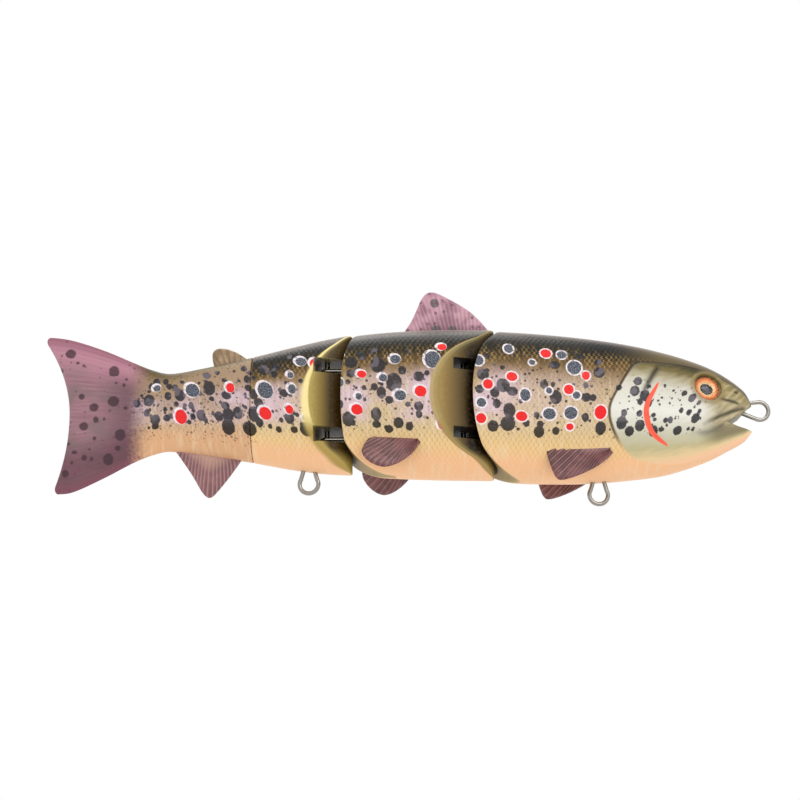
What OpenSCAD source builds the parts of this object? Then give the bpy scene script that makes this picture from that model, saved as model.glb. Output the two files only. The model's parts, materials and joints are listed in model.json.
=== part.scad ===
// Three-segment hard swimbait painted as a brown trout, with a one-piece soft tail.
// Millimetres. +X points to the nose and +Z to the back of the fish.
// The origin is the centre of the bend of the line tie, on the middle plane of the head.
// Every segment is drawn in the straight fish, then the segments behind a hinge are swung
// to the gentle bend in which the bait rests.

/* [Body] */
// Thickness of the moulded shell walls
shell_wall = 1.8; // [1.4:0.1:2.4]
// Thickness of the moulded fins
fin_thick = 1.4; // [1:0.1:2]
// Diameter of the eyes
eye_d = 7.3; // [6:0.1:8]

/* [Hinges] */
// Distance from the line tie to the front hinge pin
front_hinge_back = 86.5; // [85:0.5:88]
// Distance between the two hinge pins
hinge_spacing = 39; // [38:0.5:40]
// Diameter of the hinge pins
pin_d = 1.5; // [1.2:0.1:1.8]
// Height of each hinge slot above and below the middle of the body
hinge_spread = 10.2; // [9:0.1:11]
// Swing of the middle segment at rest, in degrees
front_bend = 8.5; // [0:0.5:20]
// Swing of the rear segment at rest, in degrees
rear_bend = 7.5; // [0:0.5:20]

/* [Wire] */
// Diameter of the line tie and hook hanger wire
wire_d = 1.25; // [1:0.05:1.5]
// Diameter of the hinge eye wire
hinge_wire_d = 1.2; // [1:0.05:1.3]

/* [Hidden] */
$fn = 48;
fit = 0.04;   // clearance of every glued or pressed piece in its seat
thru = 60;    // longer than any cut that goes right through
LEFT = 1;
RIGHT = -1;

// Stations of the fish from nose to tail: x, back, belly, half width.
BODY = [
  [-2.4, 1.2, -6.6, 1.6],
  [-3.4, 3.6, -8.1, 2.8],
  [-5, 5.8, -9.8, 4],
  [-9.5, 9, -12.5, 6.2],
  [-14.5, 11.6, -15.3, 8.1],
  [-21, 13.8, -18, 10],
  [-28, 15.6, -20.3, 11.3],
  [-37.5, 17.4, -22, 12.4],
  [-50, 18.8, -23.5, 13.1],
  [-65, 19.7, -24.2, 13.3],
  [-80, 20, -24.1, 12.9],
  [-95, 20, -23.9, 12.4],
  [-110, 19.2, -23.3, 11.6],
  [-125, 17.3, -22.3, 10.4],
  [-135, 15.4, -20.8, 9.3],
  [-147.5, 12.8, -18.1, 7.6],
  [-160, 10.5, -15.9, 5.5],
  [-170, 9.2, -14.2, 3.6],
  [-180, 8.6, -13.2, 1.6],
];
section_power = 0.93;  // below 1 makes the section fuller than an ellipse
widest_lift = 0.03;    // widest level above the middle, as a share of the height
half_sides = 16;       // facets from belly to back on one side
mid_z = -2.3;          // height of the middle of the body at both hinges

pivot_front = -front_hinge_back;
pivot_rear = pivot_front - hinge_spacing;
pivot_tail = -172;
slot_z = [mid_z + hinge_spread, mid_z - hinge_spread];

// Hinge shapes in plan, from each pivot: nose radius, where the nose meets the flank,
// cup radius, rim of the cup, and the height of the slots.
FRONT_HINGE = [8.8, [-9.4, 12.5], 9.8, [0.2, 12.9], 3.4];
REAR_HINGE = [7.3, [-5.3, 10.3], 8.3, [3.3, 11.2], 4.4];
TAIL_BEND = [2.9, [-3, 3], 3.3, [0.3, 3.4], 0];
slot_behind_pin = 2.9;  // closed end of the slots behind the pin

mouth_corner = [-11, -5.3];
eye_at = [-16.6, 4.1];
eye_turn = 16;  // eyes look forward by this much
eye_tip = 12;   // and up by this much
seam_x = -146.7;  // joint between the rear shell and the soft tail

tongue = [9, 4, 13];  // length, thickness and height of the tongue inside the soft tail
tongue_root = 2;      // length of the tongue inside the rear shell
hanger_bend_r = 2.7;
hanger_apex = 6.5;
front_hanger_at = [-47.3, -27];
rear_hanger_at = [-130.7, -25.2];
hanger_root = 3.5;  // length of the straight hanger root inside the belly
hanger_post = [7, 14];  // diameter and height of the post round the root in the hollow head

// Hollows of the three segments, from front to back.
HEAD_HOLLOW = [-24, -69];
MID_HOLLOW = [-97, -113];
REAR_HOLLOW = [-134.5, -144.5];
// Ballast rods along the fish: rear end, height, length and diameter.
HEAD_BALLAST = [-66, -15.6, 14, 11.6];
MID_BALLAST = [-108.6, -15.6, 10, 9.6];
REAR_BALLAST = [-143.4, -12.6, 8, 6.4];

// Outlines of the fins, root tab included, as x and height along the fin.
DORSAL = [[-101, 17.6], [-101, 20], [-103.4, 20.2], [-101.2, 23.4], [-99.4, 27.6], [-98, 30.6],
  [-96.2, 31.8], [-93.6, 31.4], [-89.4, 29.2], [-85, 26.4], [-81.6, 23.2], [-79.2, 20.4],
  [-82, 20], [-82, 17.6]];
PECTORAL = [[-62, -2.6], [-62, -0.4], [-64.2, 0], [-63.6, 2.6], [-62.6, 6], [-61.4, 8.4],
  [-60, 9], [-57, 8.2], [-53, 6.4], [-49, 4], [-46, 1.4], [-44.8, 0], [-47, -0.4], [-47, -2.6]];
PELVIC = [[-112, -2.6], [-112, -0.4], [-114, 0.4], [-115.4, 3.4], [-115, 6.4], [-112.6, 9.4],
  [-109.2, 10.8], [-105.4, 9.4], [-101.6, 5.6], [-98.8, 0.6], [-100.6, -0.4], [-100.6, -2.6]];
ADIPOSE = [[-148.6, 11], [-148.8, 13.2], [-152, 14.9], [-155.4, 16.1], [-158.2, 15.7],
  [-158.8, 13.6], [-158, 9.4]];
ANAL = [[-149.8, -15], [-150.2, -17.6], [-153.6, -22.2], [-157, -26.4], [-159.6, -28.2],
  [-161.6, -26.6], [-164.4, -21.6], [-167.4, -17], [-169.4, -14.4], [-168, -12]];
CAUDAL = [[-171.6, 8.4], [-176.8, 10.6], [-181.6, 12.8], [-190.6, 16.9], [-199.8, 20.2],
  [-205, 21.3], [-206.6, 20.4], [-205.8, 17.4], [-202.6, 10.4], [-200.6, 4], [-200.2, -2],
  [-200.6, -9], [-202.2, -17.4], [-204, -24], [-203.4, -25.8], [-201.6, -25.8],
  [-195.2, -23.6], [-186, -19.1], [-177, -15.2], [-171.6, -13.2]];
PECTORAL_ROOT = [9.6, -17, 7];   // y, z and outward splay in degrees
PELVIC_ROOT = [9.6, -15.2, 32];
paired_tab = 2.6;                // depth of the root tab of a paired fin
tab_exit = 4;                    // how far the slot for that tab runs on outward through the skin
dorsal_tab = [-82, -101, 17.6];  // front, back and lower edge of the root tab of the dorsal fin

// --- smooth body shape -------------------------------------------------------------

function last_station() = len(BODY) - 1;
function station(x, i = 0) = i >= last_station() - 1 || x > BODY[i + 1][0] ? i : station(x, i + 1);
function slope(i, k) =
  let (a = max(i - 1, 0), b = min(i + 1, last_station()))
  (BODY[b][k] - BODY[a][k]) / (BODY[b][0] - BODY[a][0]);
// Back, belly or half width at x, on a smooth cubic through the stations.
function body_at(x, k) =
  let (i = station(x), span = BODY[i + 1][0] - BODY[i][0], t = (x - BODY[i][0]) / span)
  let (rise = BODY[i + 1][k] - BODY[i][k], m0 = slope(i, k) * span, m1 = slope(i + 1, k) * span)
  BODY[i][k] + m0 * t + (3 * rise - 2 * m0 - m1) * t * t + (m0 + m1 - 2 * rise) * t * t * t;
// A point of the section at x. Angle 0 is the belly, 180 the back, past 180 the other side.
function skin(x, angle, inset = 0) =
  let (back = body_at(x, 1) - inset, belly = body_at(x, 2) + inset)
  let (width = body_at(x, 3) - inset)
  let (widest = (back + belly) / 2 + widest_lift * (back - belly))
  let (s = sin(angle), c = cos(angle))
  let (reach = c < 0 ? back - widest : widest - belly)
  let (across = sign(s) * pow(abs(s), section_power), up = -sign(c) * pow(abs(c), section_power))
  [x, width * across, widest + reach * up];
// Ring places from front to back, closer together toward the front when crowd is above 1.
function ring_places(front, back, rings, crowd) =
  [for (i = [0:rings]) front + (back - front) * pow(i / rings, crowd)];

// A closed tube of rings, each a list of points.
module loft(rings) {
  n = len(rings[0]);
  last = len(rings) - 1;
  sides = [for (i = [0:last - 1], j = [0:n - 1])
    [i * n + j, i * n + (j + 1) % n, (i + 1) * n + (j + 1) % n, (i + 1) * n + j]];
  triangles = [for (f = sides) each [[f[0], f[1], f[2]], [f[0], f[2], f[3]]]];
  front_cap = [for (j = [n - 1:-1:0]) j];
  back_cap = [for (j = [0:n - 1]) last * n + j];
  polyhedron([for (r = rings) each r], concat(triangles, [front_cap, back_cap]));
}

// One side of the body, flat on the middle plane.
module body_half(side, front, back, rings, crowd = 1) {
  places = ring_places(front, back, rings, crowd);
  half = [for (x = places) [for (j = [0:half_sides]) skin(x, 180 * j / half_sides)]];
  if (side == LEFT) loft(half);
  else mirror([0, 1, 0]) loft(half);
}

// Both sides of the body, set in from the skin.
module body_whole(front, back, rings, inset, sides) {
  places = ring_places(front, back, rings, 1);
  loft([for (x = places) [for (j = [0:sides - 1]) skin(x, 360 * j / sides, inset)]]);
}

// --- hinge shapes ------------------------------------------------------------------

function tangent_angle(p, r) = atan2(p[1], p[0]) - acos(r / norm(p));
function on_circle(r, angle) = [r * cos(angle), r * sin(angle)];
function flip(p) = [p[0], -p[1]];

// Plan of everything behind a round front of radius r that runs straight to edge.
module behind_plan(r, edge) {
  touch = on_circle(r, tangent_angle(edge, r));
  circle(r);
  polygon([touch, edge, [edge[0], thru], [-3 * thru, thru],
    [-3 * thru, -thru], [edge[0], -thru], flip(edge), flip(touch)]);
}

// What a segment keeps in front of it: a convex nose about its pivot.
module nose_keeper(pivot, hinge) {
  translate([pivot, 0, -thru]) linear_extrude(2 * thru) behind_plan(hinge[0], hinge[1]);
}

// What a segment loses behind it: a cup about the next pivot.
module cup_cutter(pivot, hinge) {
  translate([pivot, 0, -thru]) linear_extrude(2 * thru) behind_plan(hinge[2], hinge[3]);
}

// The two slots across a nose in which the hinge eyes swing.
module hinge_slots(pivot, hinge) {
  for (z = slot_z)
    translate([pivot - slot_behind_pin, -thru / 2, z - hinge[4] / 2]) cube([thru, thru, hinge[4]]);
}

// Centre and radii, in side view, of the round lower rear corner of the head and the middle segment.
HEAD_SWEEP = [[-66.7, -4.2], [20, 20.2]];
MID_SWEEP = [[-106, -8.4], [16.2, 14.8]];

// Sweeps the lower rear corner of a segment up to its rim.
module belly_sweep(sweep) {
  centre = sweep[0];
  radii = sweep[1];
  translate([centre[0], 0, centre[1]]) rotate([90, 0, 0])
    linear_extrude(thru, center = true) difference() {
      translate([-2 * thru, -thru]) square([2 * thru, thru]);
      polygon([for (a = [0:5:90]) [-radii[0] * cos(a), -radii[1] * sin(a)], [0, 1], [-radii[0], 1]]);
    }
}

pin_reach = [mid_z + 15.8, mid_z - 16.2];  // top and bottom of the hinge pins

module hinge_pin(pivot, gap = 0) {
  translate([pivot, 0, pin_reach[1] - gap])
    cylinder(h = pin_reach[0] - pin_reach[1] + 2 * gap, d = pin_d + 2 * gap);
}

hinge_eye_r = pin_d / 2 + 0.05 + hinge_wire_d / 2;  // centre line of the bend round the pin
eye_leg = 16;                                       // length of its legs

// A wire staple round the pin with two legs set in the segment in front.
module hinge_eye(pivot, z, gap = 0) {
  translate([pivot, 0, z]) {
    rotate([0, 0, 90]) rotate_extrude(angle = 180)
      translate([hinge_eye_r, 0]) circle(d = hinge_wire_d + 2 * gap, $fn = 24);
    for (side = [LEFT, RIGHT])
      translate([0, side * hinge_eye_r, 0]) rotate([0, 90, 0])
        cylinder(h = eye_leg + gap, d = hinge_wire_d + 2 * gap, $fn = 24);
  }
}

// --- wire --------------------------------------------------------------------------

bead = 0.12;  // a bead at each end of a rod is this much thicker than the wire

module rod(from, to, d) {
  run = to - from;
  translate(from) sphere(d = d + bead, $fn = 24);
  translate(from) rotate([0, acos(run[2] / norm(run)), atan2(run[1], run[0])])
    cylinder(h = norm(run), d = d, $fn = 24);
}

// An arc of wire in the plane y = 0, from one angle to another measured up from +X.
module wire_arc(r, from, to, d) {
  rotate([90, 0, 0]) rotate([0, 0, from])
    rotate_extrude(angle = to - from) translate([r, 0]) circle(d = d, $fn = 24);
}

// A drop-shaped loop hanging from the belly, open along the fish.
module hook_hanger(at, gap = 0) {
  lean = acos(hanger_bend_r / hanger_apex);  // from straight up to where the legs leave the bend
  d = wire_d + 2 * gap;
  apex = [0, 0, hanger_apex];
  translate([at[0], 0, at[1]]) {
    wire_arc(hanger_bend_r, 90 + lean, 450 - lean, d);
    for (side = [LEFT, RIGHT])
      rod([side * hanger_bend_r * sin(lean), 0, hanger_bend_r * cos(lean)], apex, d);
    rod(apex, apex + [0, 0, hanger_root + gap], d + bead / 2);
  }
}

tie_bend_r = 2.65;
tie_legs = [[8, 10.6], [20, 8.6]];  // lean toward the middle and length, upper leg first

// The line tie: a bend in front of the nose and two legs set in the upper jaw.
module line_tie_wire(gap = 0) {
  d = wire_d + 2 * gap;
  wire_arc(tie_bend_r, -90 - tie_legs[1][0], 90 + tie_legs[0][0], d);
  for (i = [0, 1]) {
    up = 1 - 2 * i;
    lean = tie_legs[i][0];
    start = tie_bend_r * [-sin(lean), 0, up * cos(lean)];
    rod(start, start + (tie_legs[i][1] + gap) * [-cos(lean), 0, -up * sin(lean)], d);
  }
}

module line_tie() {
  color("silver") line_tie_wire();
}

// --- fins --------------------------------------------------------------------------

module fin_plate(outline, thickness) {
  rotate([90, 0, 0]) linear_extrude(thickness, center = true) polygon(outline);
}

// A paired fin: its outline hangs down from the root and splays outward.
module paired_fin(side, outline, root) {
  mirror([0, side == LEFT ? 0 : 1, 0])
    translate([0, root[0], root[1]]) rotate([180 + root[2], 0, 0]) fin_plate(outline, fin_thick);
}

// The slot in the shell for the root of a paired fin.
module paired_fin_slot(side, outline, root) {
  front = outline[len(outline) - 3][0];
  back = outline[2][0];
  thick = fin_thick + 2 * fit;
  deep = paired_tab + fit;
  mirror([0, side == LEFT ? 0 : 1, 0])
    translate([0, root[0], root[1]]) rotate([180 + root[2], 0, 0])
      translate([back - fit, -thick / 2, -deep]) cube([front - back + 2 * fit, thick, deep + tab_exit]);
}

module dorsal_fin_slot() {
  long = dorsal_tab[0] - dorsal_tab[1] + 2 * fit;
  thick = fin_thick + 2 * fit;
  translate([dorsal_tab[1] - fit, -thick / 2, dorsal_tab[2] - fit]) cube([long, thick, thru]);
}

module pectoral_fin_left() {
  color("rosybrown") paired_fin(LEFT, PECTORAL, PECTORAL_ROOT);
}

module pectoral_fin_right() {
  color("rosybrown") paired_fin(RIGHT, PECTORAL, PECTORAL_ROOT);
}

module pelvic_fin_left() {
  color("rosybrown") in_mid() paired_fin(LEFT, PELVIC, PELVIC_ROOT);
}

module pelvic_fin_right() {
  color("rosybrown") in_mid() paired_fin(RIGHT, PELVIC, PELVIC_ROOT);
}

module dorsal_fin() {
  color("thistle") in_mid() intersection() {
    fin_plate(DORSAL, fin_thick);
    difference() {
      cube(5 * thru, center = true);
      body_whole(-78, -105, 9, 0, 32);
    }
  }
}

// --- eyes --------------------------------------------------------------------------

iris_floor = 2;      // depth of the eye socket below the skin
iris_thick = 0.8;
lens_dome_r = 5.2;
lens_rise = 0.9;     // height of the lens above the skin

function eye_point() =
  let (back = body_at(eye_at[0], 1), belly = body_at(eye_at[0], 2))
  let (middle = (back + belly) / 2, lift = (eye_at[1] - middle) / ((back - belly) / 2))
  [eye_at[0], body_at(eye_at[0], 3) * sqrt(1 - lift * lift), eye_at[1]];

// Places children with their +Z looking out of the eye.
module at_eye(side) {
  mirror([0, side == LEFT ? 0 : 1, 0]) translate(eye_point())
    rotate([0, 0, -eye_turn]) rotate([-90 + eye_tip, 0, 0]) children();
}

module eye_socket(side) {
  at_eye(side) translate([0, 0, -iris_floor - fit]) cylinder(h = thru, d = eye_d + 2 * fit);
}

module eye_iris(side) {
  color("darkorange") at_eye(side) translate([0, 0, -iris_floor]) cylinder(h = iris_thick, d = eye_d);
}

module eye_lens(side) {
  color("lightgray") at_eye(side) intersection() {
    translate([0, 0, -iris_floor + iris_thick]) cylinder(h = thru, d = eye_d);
    translate([0, 0, lens_rise - lens_dome_r]) sphere(r = lens_dome_r);
  }
}

// --- head --------------------------------------------------------------------------

module head_cavity() {
  difference() {
    body_whole(HEAD_HOLLOW[0], HEAD_HOLLOW[1], 9, shell_wall, 24);
    translate([front_hanger_at[0], 0, front_hanger_at[1] - hanger_bend_r])
      cylinder(h = hanger_post[1], d = hanger_post[0]);
  }
}

// The open mouth, a wedge that narrows to its corner.
module mouth_cutter() {
  rotate([90, 0, 0]) linear_extrude(thru, center = true)
    polygon([mouth_corner, [-7.2, -6.1], [-3, -6.5], [0, -6.5], [0, 2.2], [-3.2, 0.9], [-5.7, -1.9]]);
}

module head_shell(side) {
  color("olivedrab") difference() {
    body_half(side, -2.4, -86, 25, 1.45);
    cup_cutter(pivot_front, FRONT_HINGE);
    belly_sweep(HEAD_SWEEP);
    head_cavity();
    mouth_cutter();
    eye_socket(side);
    line_tie_wire(fit);
    hook_hanger(front_hanger_at, fit);
    for (z = slot_z) hinge_eye(pivot_front, z, fit);
    paired_fin_slot(side, PECTORAL, PECTORAL_ROOT);
  }
}

module front_hook_hanger() {
  color("silver") hook_hanger(front_hanger_at);
}

module ballast(rod) {
  translate([rod[0], 0, rod[1]]) rotate([0, 90, 0]) cylinder(h = rod[2], d = rod[3]);
}

module head_ballast() {
  color("dimgray") ballast(HEAD_BALLAST);
}

module front_hinge_eye(z) {
  color("silver") hinge_eye(pivot_front, z);
}

// --- middle segment ----------------------------------------------------------------

// Swings children with the middle segment.
module in_mid() {
  translate([pivot_front, 0, 0]) rotate([0, 0, -front_bend]) translate([-pivot_front, 0, 0]) children();
}

module mid_shell(side) {
  color("olive") in_mid() difference() {
    intersection() {
      body_half(side, -77, -123, 16);
      nose_keeper(pivot_front, FRONT_HINGE);
    }
    hinge_slots(pivot_front, FRONT_HINGE);
    cup_cutter(pivot_rear, REAR_HINGE);
    belly_sweep(MID_SWEEP);
    body_whole(MID_HOLLOW[0], MID_HOLLOW[1], 4, shell_wall, 24);
    hinge_pin(pivot_front, fit);
    for (z = slot_z) hinge_eye(pivot_rear, z, fit);
    dorsal_fin_slot();
    paired_fin_slot(side, PELVIC, PELVIC_ROOT);
  }
}

module mid_ballast() {
  color("dimgray") in_mid() ballast(MID_BALLAST);
}

module front_hinge_pin() {
  color("silver") in_mid() hinge_pin(pivot_front);
}

module rear_hinge_eye(z) {
  color("silver") in_mid() hinge_eye(pivot_rear, z);
}

// --- rear segment ------------------------------------------------------------------

// Swings children with the rear segment.
module in_rear() {
  in_mid() translate([pivot_rear, 0, 0]) rotate([0, 0, -rear_bend]) translate([-pivot_rear, 0, 0])
    children();
}

module tail_tongue(gap = 0) {
  translate([seam_x - tongue[0] - gap, -tongue[1] / 2 - gap, mid_z - tongue[2] / 2 - gap])
    cube([tongue[0] + tongue_root + gap, tongue[1] + 2 * gap, tongue[2] + 2 * gap]);
}

module rear_shell(side) {
  color("olive") in_rear() {
    difference() {
      intersection() {
        body_half(side, pivot_rear + 8, seam_x, 12);
        nose_keeper(pivot_rear, REAR_HINGE);
      }
      hinge_slots(pivot_rear, REAR_HINGE);
      body_whole(REAR_HOLLOW[0], REAR_HOLLOW[1], 3, shell_wall, 24);
      hinge_pin(pivot_rear, fit);
      hook_hanger(rear_hanger_at, fit);
    }
    intersection() {
      tail_tongue();
      translate([seam_x - thru, side == LEFT ? 0 : -thru, -thru]) cube(2 * thru * [1, 0.5, 1]);
    }
  }
}

module rear_hinge_pin() {
  color("silver") in_rear() hinge_pin(pivot_rear);
}

module rear_hook_hanger() {
  color("silver") in_rear() hook_hanger(rear_hanger_at);
}

module rear_ballast() {
  color("dimgray") in_rear() ballast(REAR_BALLAST);
}

// --- soft tail, as a sleeve on the tongue and a fin that bends --------------------------

module tail_sleeve() {
  color("plum") in_rear() difference() {
    union() {
      body_whole(seam_x - fit, -175, 11, 0, 32);
      fin_plate(ADIPOSE, fin_thick);
      fin_plate(ANAL, fin_thick);
    }
    tail_tongue(fit);
    cup_cutter(pivot_tail, TAIL_BEND);
  }
}

module tail_fin() {
  color("plum") in_rear() {
    intersection() {
      body_whole(-168.5, -179, 6, 0, 32);
      nose_keeper(pivot_tail, TAIL_BEND);
    }
    fin_plate(CAUDAL, fin_thick);
  }
}

head_shell(LEFT);  // head_shell_left
head_shell(RIGHT);  // head_shell_right
eye_iris(LEFT);  // eye_iris_left
eye_iris(RIGHT);  // eye_iris_right
eye_lens(LEFT);  // eye_lens_left
eye_lens(RIGHT);  // eye_lens_right
line_tie();
front_hook_hanger();
pectoral_fin_left();
pectoral_fin_right();
head_ballast();
front_hinge_eye(slot_z[0]);  // front_hinge_eye_upper
front_hinge_eye(slot_z[1]);  // front_hinge_eye_lower
mid_shell(LEFT);  // mid_shell_left
mid_shell(RIGHT);  // mid_shell_right
dorsal_fin();
pelvic_fin_left();
pelvic_fin_right();
mid_ballast();
front_hinge_pin();
rear_hinge_eye(slot_z[0]);  // rear_hinge_eye_upper
rear_hinge_eye(slot_z[1]);  // rear_hinge_eye_lower
rear_shell(LEFT);  // rear_shell_left
rear_shell(RIGHT);  // rear_shell_right
rear_hinge_pin();
rear_hook_hanger();
rear_ballast();
tail_sleeve();
tail_fin();
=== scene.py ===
"""Looks of a jointed trout swimbait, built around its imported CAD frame.

The fish is modelled straight, in millimetres, with the same shape functions as the CAD part. Each segment is
then swung to its place at rest, which comes from the joints of the frame."""

import json
import math

import bmesh
import bpy
import numpy as np
from mathutils import Matrix, Vector


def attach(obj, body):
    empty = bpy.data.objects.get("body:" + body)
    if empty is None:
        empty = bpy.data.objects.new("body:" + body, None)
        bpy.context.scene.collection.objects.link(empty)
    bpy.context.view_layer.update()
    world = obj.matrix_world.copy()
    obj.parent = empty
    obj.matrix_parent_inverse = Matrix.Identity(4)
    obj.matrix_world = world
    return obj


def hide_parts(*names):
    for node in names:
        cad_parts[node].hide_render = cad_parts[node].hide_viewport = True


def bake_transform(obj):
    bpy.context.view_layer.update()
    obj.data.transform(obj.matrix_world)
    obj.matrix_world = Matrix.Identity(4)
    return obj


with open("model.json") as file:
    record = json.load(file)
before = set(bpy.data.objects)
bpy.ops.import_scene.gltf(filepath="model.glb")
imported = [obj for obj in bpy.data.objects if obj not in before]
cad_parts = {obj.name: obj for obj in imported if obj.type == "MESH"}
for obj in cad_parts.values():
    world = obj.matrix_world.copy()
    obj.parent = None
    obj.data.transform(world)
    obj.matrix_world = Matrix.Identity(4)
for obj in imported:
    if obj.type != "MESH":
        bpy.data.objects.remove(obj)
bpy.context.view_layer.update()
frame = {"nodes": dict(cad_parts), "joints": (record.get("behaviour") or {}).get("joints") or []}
MM = 0.001
LEFT, RIGHT = 1, -1

# --- places taken from the frame -----------------------------------------------------

JOINTS = {j["name"]: Vector(j["pos_m"]) / MM for j in frame["joints"]}
front_pin, rear_pin, tail_pin = (JOINTS[n] for n in ("front_hinge", "rear_hinge", "tail_flex"))
FRONT_BEND = math.atan2(rear_pin.y - front_pin.y, front_pin.x - rear_pin.x)
REAR_BEND = math.atan2(tail_pin.y - rear_pin.y, rear_pin.x - tail_pin.x) - FRONT_BEND
PIVOT_FRONT = front_pin.x
PIVOT_REAR = PIVOT_FRONT - (rear_pin - front_pin).length
PIVOT_TAIL = PIVOT_REAR - (tail_pin - rear_pin).length


def swing(pivot_x, angle):
    pivot = Matrix.Translation((pivot_x, 0, 0))
    return pivot @ Matrix.Rotation(-angle, 4, "Z") @ pivot.inverted()


TO_HEAD = Matrix.Identity(4)
TO_MID = swing(PIVOT_FRONT, FRONT_BEND)
TO_REAR = TO_MID @ swing(PIVOT_REAR, REAR_BEND)


def smoothstep(x, low, high):
    t = np.clip((x - low) / (high - low), 0, 1)
    return t * t * (3 - 2 * t)


def bell(d, wide):
    """1 where d is nought, falling to nought on both sides over about twice the width."""
    return np.exp(-((d / wide) ** 2))


# --- shape of the straight fish ------------------------------------------------------

# Stations from nose to tail: x, back, belly, half width.
BODY = np.array([
    (-2.4, 1.2, -6.6, 1.6),
    (-3.4, 3.6, -8.1, 2.8),
    (-5, 5.8, -9.8, 4),
    (-9.5, 9, -12.5, 6.2),
    (-14.5, 11.6, -15.3, 8.1),
    (-21, 13.8, -18, 10),
    (-28, 15.6, -20.3, 11.3),
    (-37.5, 17.4, -22, 12.4),
    (-50, 18.8, -23.5, 13.1),
    (-65, 19.7, -24.2, 13.3),
    (-80, 20, -24.1, 12.9),
    (-95, 20, -23.9, 12.4),
    (-110, 19.2, -23.3, 11.6),
    (-125, 17.3, -22.3, 10.4),
    (-135, 15.4, -20.8, 9.3),
    (-147.5, 12.8, -18.1, 7.6),
    (-160, 10.5, -15.9, 5.5),
    (-170, 9.2, -14.2, 3.6),
    (-180, 8.6, -13.2, 1.6),
])
# The soft tail: from the seam to the tips of the tail fin.
TAIL = np.array([
    (-146, 13.1, -18.4, 7.8),
    (-150, 12.3, -17.6, 7.2),
    (-156, 11.2, -16.6, 6.2),
    (-162, 10.2, -15.5, 5.1),
    (-168, 9.3, -14.5, 3.8),
    (-172, 9.2, -14.1, 2.9),
    (-176.5, 10.5, -15.1, 2),
    (-181.5, 12.7, -17, 1.35),
    (-190.5, 16.8, -21.4, 1),
    (-199.5, 20.1, -25.2, 0.85),
    (-205, 21.2, -25.6, 0.75),
    (-209, 21.4, -25.8, 0.7),
])
SECTION_POWER = 0.93
WIDEST_LIFT = 0.03
MID_Z = -2.3
HINGE_SPREAD = 10.2
SLOT_Z = (MID_Z + HINGE_SPREAD, MID_Z - HINGE_SPREAD)
SEAM_X = -146.7

# Hinge shapes in plan about each pivot: nose radius, edge of the flank, cup radius and rim of the cup.
# The last value is the height of the slots.
FRONT_HINGE = (8.8, (-9.4, 12.5), 9.8, (0.2, 12.9), 3.4)
REAR_HINGE = (7.3, (-5.3, 10.3), 8.3, (3.3, 11.2), 4.4)
SLOT_BEHIND_PIN = 2.9
SLOT_REACH = 30  # longer than any slot is deep or wide
# Round lower rear corners of two segments: centre and radii in side view.
HEAD_SWEEP = ((-66.7, -4.2), (20, 20.2))
MID_SWEEP = ((-106, -8.4), (16.2, 14.8))
MOUTH = [(-11, -5.3), (-7.2, -6.1), (-3, -6.5), (0.8, -6.5), (0.8, 2.5), (-3.2, 0.9), (-5.7, -1.9)]
EYE = (-16.6, 4.1)
EYE_DEEP = 2.6   # how far the socket goes in, behind the printed iris
EYE_CLEAR = 5.2  # no paint spots nearer the middle of the eye


def station_value(table, x, k):
    """Back, belly or half width at x, on a smooth cubic through the stations of a table."""
    places, values = table[:, 0], table[:, k]
    slopes = np.empty(len(table))
    slopes[1:-1] = (values[2:] - values[:-2]) / (places[2:] - places[:-2])
    slopes[0] = (values[1] - values[0]) / (places[1] - places[0])
    slopes[-1] = (values[-1] - values[-2]) / (places[-1] - places[-2])
    i = np.clip(np.searchsorted(-places, -x, side="left") - 1, 0, len(table) - 2)
    span = places[i + 1] - places[i]
    t = (x - places[i]) / span
    rise = values[i + 1] - values[i]
    m0, m1 = slopes[i] * span, slopes[i + 1] * span
    return values[i] + m0 * t + (3 * rise - 2 * m0 - m1) * t**2 + (m0 + m1 - 2 * rise) * t**3


def skin(x, angle, table=BODY):
    """Points of the skin at x. Angle 0 is the belly and pi the back; a negative angle is the right side."""
    back, belly, width = (station_value(table, x, k) for k in (1, 2, 3))
    widest = (back + belly) / 2 + WIDEST_LIFT * (back - belly)
    s, c = np.sin(angle), np.cos(angle)
    reach = np.where(c < 0, back - widest, widest - belly)
    y = width * np.sign(s) * np.abs(s) ** SECTION_POWER
    z = widest - reach * np.sign(c) * np.abs(c) ** SECTION_POWER
    return y, z


def tangent_point(edge, r):
    angle = math.atan2(edge[1], edge[0]) - math.acos(r / math.hypot(*edge))
    return r * math.cos(angle), r * math.sin(angle)


def plan_x(pivot, r, edge, y):
    """x of a round front of radius r about a pivot that runs straight to edge, at each y."""
    y = np.abs(y)
    touch = tangent_point(edge, r)
    run = (y - touch[1]) / (edge[1] - touch[1])
    straight = touch[0] + np.clip(run, 0, 1) * (edge[0] - touch[0])
    arc = np.sqrt(np.maximum(r * r - y * y, 0))
    return pivot + np.where(y < touch[1], arc, straight)


def sweep_x(centre, radii, z):
    """x of the round lower rear corner of a segment, far behind above its centre."""
    drop = np.clip((centre[1] - z) / radii[1], 0, 1)
    return np.where(z < centre[1], centre[0] - radii[0] * np.sqrt(1 - drop**2), -1e3)


def head_back(y, z):
    cup = plan_x(PIVOT_FRONT, FRONT_HINGE[2], FRONT_HINGE[3], y)
    return np.maximum(cup, sweep_x(*HEAD_SWEEP, z))


def mid_front(y, z):
    return plan_x(PIVOT_FRONT, FRONT_HINGE[0], FRONT_HINGE[1], y)


def mid_back(y, z):
    cup = plan_x(PIVOT_REAR, REAR_HINGE[2], REAR_HINGE[3], y)
    return np.maximum(cup, sweep_x(*MID_SWEEP, z))


def rear_front(y, z):
    return plan_x(PIVOT_REAR, REAR_HINGE[0], REAR_HINGE[1], y)


def rear_back(y, z):
    return np.full(np.shape(y), SEAM_X)


# --- arc length round the body, for paint that keeps its size ------------------------

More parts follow.
